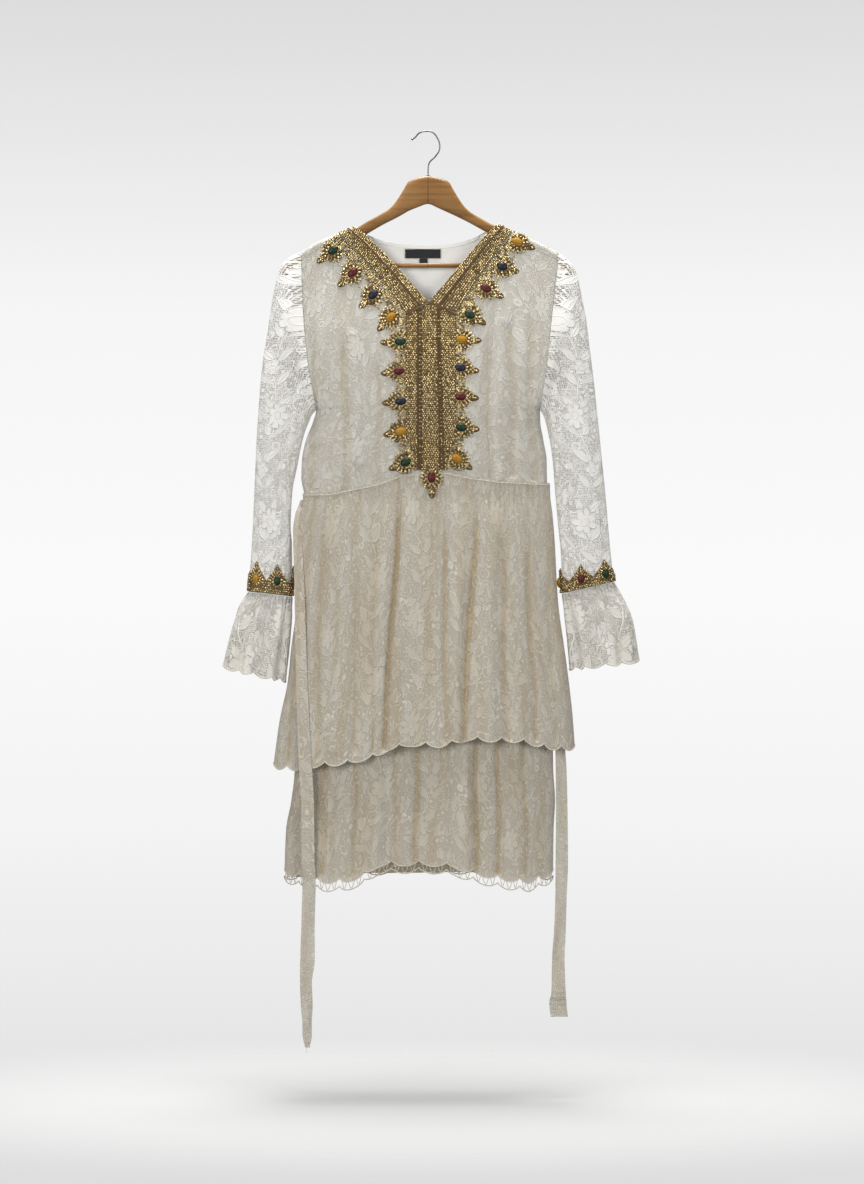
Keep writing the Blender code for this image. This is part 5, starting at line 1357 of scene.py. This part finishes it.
for top, low in PANEL_CORDS:
    levels = np.linspace(PLACKET[0].z - 9, PLACKET[-1].z + 1, 60)
    x = np.interp(levels, (PLACKET[-1].z, PLACKET[0].z), (low, top))
    left, right = read(PLACKET, levels, "left"), read(PLACKET, levels, "right")
    runs.append(np.column_stack((np.clip(x, left + 1.5, right - 1.5), levels)))
piped("panel_cords", runs)
beaded("neckline_beads", bead, on_trim, spots, gold_bead, "gold_trim")

# Medallions: each has an oval stone in a ring of drop-shaped petals, and a pointed tip of beads.
# Rows of them run down both sides of the neckline and the front, joined by small open loops.
Petals = namedtuple("Petals", "count start opening along across leaning length width height")
PETALS = rows(
    Petals,
    (12, 0.5, -2, 11, 8.6, True, 5.4, 3.3, 2.2),
    (16, 0, -0.55, 15.6, 13.4, True, 5.6, 3.6, 2.1),
    (22, 0.5, -0.7, 18.8, 16.4, False, 3, 3, 1.8),
)
TIP_BEADS = ((11.0, 6.5), (7.0, 4.0), (3.2, 2.8))
LINK_BEADS = range(-3, 4)
EDGE_ROWS = (-8.4, -6.2, -4.0, -1.8, 0.8, 3.4, 6.0, 8.6)
EDGE_PITCH = 3.2
PLATE_LIFT = 0.8
PETAL_LIFT = 1.6
plate = ball(20, 8)
petals = []
plates = []


def leaning_of(gem):
    return math.atan2(gem.tip_z - gem.z, gem.tip_x - gem.x)


def medallion_spots(gem, size=1.0):
    """The petals and beads of one medallion, and the plate under them."""
    turn = leaning_of(gem)
    reach = math.hypot(gem.tip_z - gem.z, gem.tip_x - gem.x)
    ahead = (math.cos(turn), math.sin(turn))

    def spot(along, across, angle, length, width, height):
        x = gem.x + along * ahead[0] - across * ahead[1]
        z = gem.z + along * ahead[1] + across * ahead[0]
        return x, z, turn + angle, length, width, height

    for ring in PETALS:
        for i in range(ring.count):
            angle = 2 * math.pi * (i + ring.start) / ring.count
            if math.cos(angle) < ring.opening:
                continue
            along, across = ring.along * size * math.cos(angle), ring.across * size * math.sin(angle)
            lean = math.atan2(across, along) if ring.leaning else angle
            petals.append(spot(along, across, lean, ring.length * size, ring.width * size, ring.height))
    for back, width in TIP_BEADS:
        petals.append(spot(reach - back, 0, 0, 4.6, 3.0, 2.2))
        if width > 3:
            for edge in (1, -1):
                petals.append(spot(reach - back - 1.5, edge * (width / 2 + 1.2), edge * 0.5, 4.2, 2.7, 2.0))
    plates.append(spot(1.5 * size, 0, 0, 31 * size, 27 * size, 2.2))
    plates.append(spot(reach * 0.60, 0, 0, 24 * size, 11 * size, 2.0))


for gem in MEDALLIONS_LEFT + MEDALLIONS_RIGHT + (MEDALLION_BOTTOM,):
    medallion_spots(gem)
for gems in (MEDALLIONS_LEFT, MEDALLIONS_RIGHT):
    for first, second in zip(gems, gems[1:]):
        x, z = (first.x + second.x) / 2, (first.z + second.z) / 2
        turn = math.atan2((first.tip_z - first.z) + (second.tip_z - second.z),
                          (first.tip_x - first.x) + (second.tip_x - second.x))
        size = math.dist((first.x, first.z), (second.x, second.z)) * 0.17
        for step in LINK_BEADS:
            bend = math.radians(step * 34)
            petals.append(grain(x + size * math.cos(turn + bend) * 0.9, z + size * math.sin(turn + bend) * 0.9,
                                turn + bend, 3.0, 2.5, 1.8))
for points, outward in ((BASE_LEFT, -1), (BASE_RIGHT, 1)):
    count = int(length_of(points) / EDGE_PITCH)
    for i in range(count):
        share = (i + 0.5) / count
        x, z = (float(value) for value in along_line(points, share))
        either_side = zip(along_line(points, share - 0.01), along_line(points, share + 0.01))
        ahead_x, ahead_z = (float(b - a) for a, b in either_side)
        span = math.hypot(ahead_x, ahead_z)
        side_x, side_z = outward * abs(ahead_z / span), -abs(ahead_x / span)
        for out in EDGE_ROWS:
            if out < -2 and z < PLACKET[0].z - 14:
                continue
            if out < 5 or math.sin(share * 2 * math.pi * 9 + 1.2) > (out - 7.5) / 4:
                spot = (x + side_x * (out + 1), z + side_z * (out + 1), math.atan2(ahead_z, ahead_x))
                petals.append(grain(*spot, 3.3, 2.7, 1.9))
medallion_plates = beaded("medallion_plates", plate, raised(PLATE_LIFT), plates, gold_ground, "gold_trim")
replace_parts(medallion_plates, "applique_left", "applique_right", "applique_bottom")
beaded("medallion_petals", bead, raised(PETAL_LIFT), petals, gold_bead, "gold_trim")

# Cuffs: the same medallions five times round each wrist, on a band of beads.
# Their points stand up on the sleeve, and the ruffle hangs from the lower edge.
CUFF_POINT = 46.0
CUFF_STONE_HEIGHT = 20.0
CUFF_RISE = 41.0
CUFF_SIZE = 0.78
CUFF_BEAD_ROWS = 5
CUFF_BEAD_PITCH = 3.3
CUFF_FIRST = {"left": 0.115, "right": 0.105}
CUFF_COLOURS = {
    "left": ("yellow", "green", "red", "navy", "yellow"),
    "right": ("green", "red", "yellow", "navy", "red"),
}


def cuff_surface(rings):
    """Places on the cuff; x is the length of cloth round it and z the height above its lower edge."""
    turns, lengths = even_turns(rings, 0.97)
    outward = math.copysign(1, rings[0].outer_x)
    step = 0.0005

    def surface(x, z, lift):
        turn = np.interp(np.mod(x, lengths[-1]), lengths, turns)
        v = 1 - (z + 1.5) / (CUFF_RISE * (len(rings) - 1))
        here, after, before, below, above = (
            np.column_stack(ring_at(rings, turn + step * ahead, v + step * down))
            for ahead, down in ((0, 0), (1, 0), (-1, 0), (0, 1), (0, -1))
        )
        normal = np.cross(after - before, below - above)
        normal[:, 2] = 0
        normal /= np.linalg.norm(normal, axis=1)[:, None]
        return tuple((here + normal * (outward * (lift + TRIM_TOP))[:, None]).T)

    return surface, lengths[-1]


cuffs = {}
for side, rings in (("left", SLEEVE_LEFT), ("right", SLEEVE_RIGHT)):
    surface, round_length = cuff_surface(rings)
    apart = round_length / len(CUFF_COLOURS[side])
    places = [CUFF_FIRST[side] * round_length + i * apart for i in range(len(CUFF_COLOURS[side]))]
    cuffs[side] = (surface, places)
    cuff_spots = []
    petals = []
    plates = []
    for x in places:
        medallion_spots(Medallion(x, CUFF_STONE_HEIGHT, x, CUFF_POINT - 1.0, ""), CUFF_SIZE)
    count = int(round_length / CUFF_BEAD_PITCH)
    for row in range(CUFF_BEAD_ROWS):
        height = 2.0 + row * CUFF_BEAD_PITCH
        for i in range(count):
            x = round_length * (i + 0.5 * (row % 2)) / count
            past = (x - places[0]) % apart
            if min(past, apart - past) > 9 or height < 8:
                cuff_spots.append(grain(x, height))
    beaded("cuff_beads_" + side, bead, surface, cuff_spots + petals, gold_bead, "gold_trim")

# Stones: flat oval cabochons of satin glass, each in a thin pale rim, pressed on the medallions.
# The yellow ones are covered in thread, so they look soft and have no rim.
Stone = namedtuple("Stone", "deep light roughness")
STONES = {
    "green": Stone((0.001, 0.013, 0.004), (0.004, 0.034, 0.010), 0.42),
    "red": Stone((0.042, 0.001, 0.002), (0.120, 0.003, 0.006), 0.42),
    "navy": Stone((0.003, 0.004, 0.011), (0.008, 0.012, 0.032), 0.42),
    "yellow": Stone((0.26, 0.115, 0.004), (0.52, 0.27, 0.02), 0.75),
}
pale_rim, tree, shader = new_finish("pale gold rim", 0.35, 0.8)
shader.inputs["Base Color"].default_value = (0.66, 0.54, 0.30, 1)
STONE_SIZE = (17.0, 12.0, 7.6)
CUFF_STONE_SIZE = (15.0, 10.6, 7.0)
STONE_LIFT = 3.0
RIM_BEADS = 26
RIM_GAP = 0.5
RIM_BEAD_SIZE = (1.2, 1.7, 1.3)
dome = ball(20, 12)
rim_bead = ball(5, 3)
surfaces = {"bodice": raised(STONE_LIFT), "left": cuffs["left"][0], "right": cuffs["right"][0]}
rim_spots = {"bodice": [], "left": [], "right": []}
for colour, stone in STONES.items():
    finish, tree, shader = new_finish("stone " + colour, stone.roughness)
    shader.inputs["Specular IOR Level"].default_value = 0.35
    cloudy = noise(tree, coordinates(tree), 900.0 if colour == "yellow" else 240.0, 2.0)
    join(tree, mottled(tree, cloudy, 0.35, 0.65, stone.deep, stone.light), shader.inputs["Base Color"])
    if colour == "yellow":
        bumped(tree, shader, cloudy, 0.0008, 0.9)
    groups = {"bodice": [], "left": [], "right": []}
    for side, gems in (("left", MEDALLIONS_LEFT), ("right", MEDALLIONS_RIGHT), ("bottom", (MEDALLION_BOTTOM,))):
        for i, gem in enumerate(gems):
            if gem.colour == colour:
                spot = (gem.x, gem.z, leaning_of(gem), *STONE_SIZE)
                groups["bodice"].append((spot, "stone_%s_%d" % (side, i + 1)))
    for side, (_, places) in cuffs.items():
        for i, x in enumerate(places):
            if CUFF_COLOURS[side][i] == colour:
                spot = (x, CUFF_STONE_HEIGHT, math.pi / 2, *CUFF_STONE_SIZE)
                groups[side].append((spot, "cuff_stone_%s_%d" % (side, i + 1)))
    for where, group in groups.items():
        if group:
            spots, replaced = zip(*group)
            name = "stones_%s_%s" % (colour, where)
            stones = beaded(name, dome, surfaces[where], spots, finish, "stone_" + colour)
            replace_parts(stones, *replaced)
            if colour != "yellow":
                rim_spots[where] += spots
for where, spots in rim_spots.items():
    beads = []
    for x, z, turn, length, width, _ in spots:
        for i in range(RIM_BEADS):
            angle = 2 * math.pi * i / RIM_BEADS
            along, across = (length / 2 + RIM_GAP) * math.cos(angle), (width / 2 + RIM_GAP) * math.sin(angle)
            place_x = x + along * math.cos(turn) - across * math.sin(turn)
            place_z = z + along * math.sin(turn) + across * math.cos(turn)
            beads.append((place_x, place_z, turn + angle, *RIM_BEAD_SIZE))
    beaded("stone_rims_" + where, rim_bead, surfaces[where], beads, pale_rim, "gold_trim")

# Back neck: a narrow binding of the lining's cloth, with a black woven label and size tab under it.
# Both labels are bare.
label_cloth, tree, shader = new_finish("black label", 0.8)
weave = noise(tree, stretched(tree, coordinates(tree), (2600, 900, 2600)), 1.0, 2.0)
black_weave = blend_colours(tree, weave, (0.006, 0.006, 0.007), (0.020, 0.021, 0.023))
join(tree, black_weave, shader.inputs["Base Color"])
bumped(tree, shader, weave, 0.0002, 0.6)
refinished(("neck_label", "size_tab"), label_cloth)
refinished(("neck_binding_back",), lining)
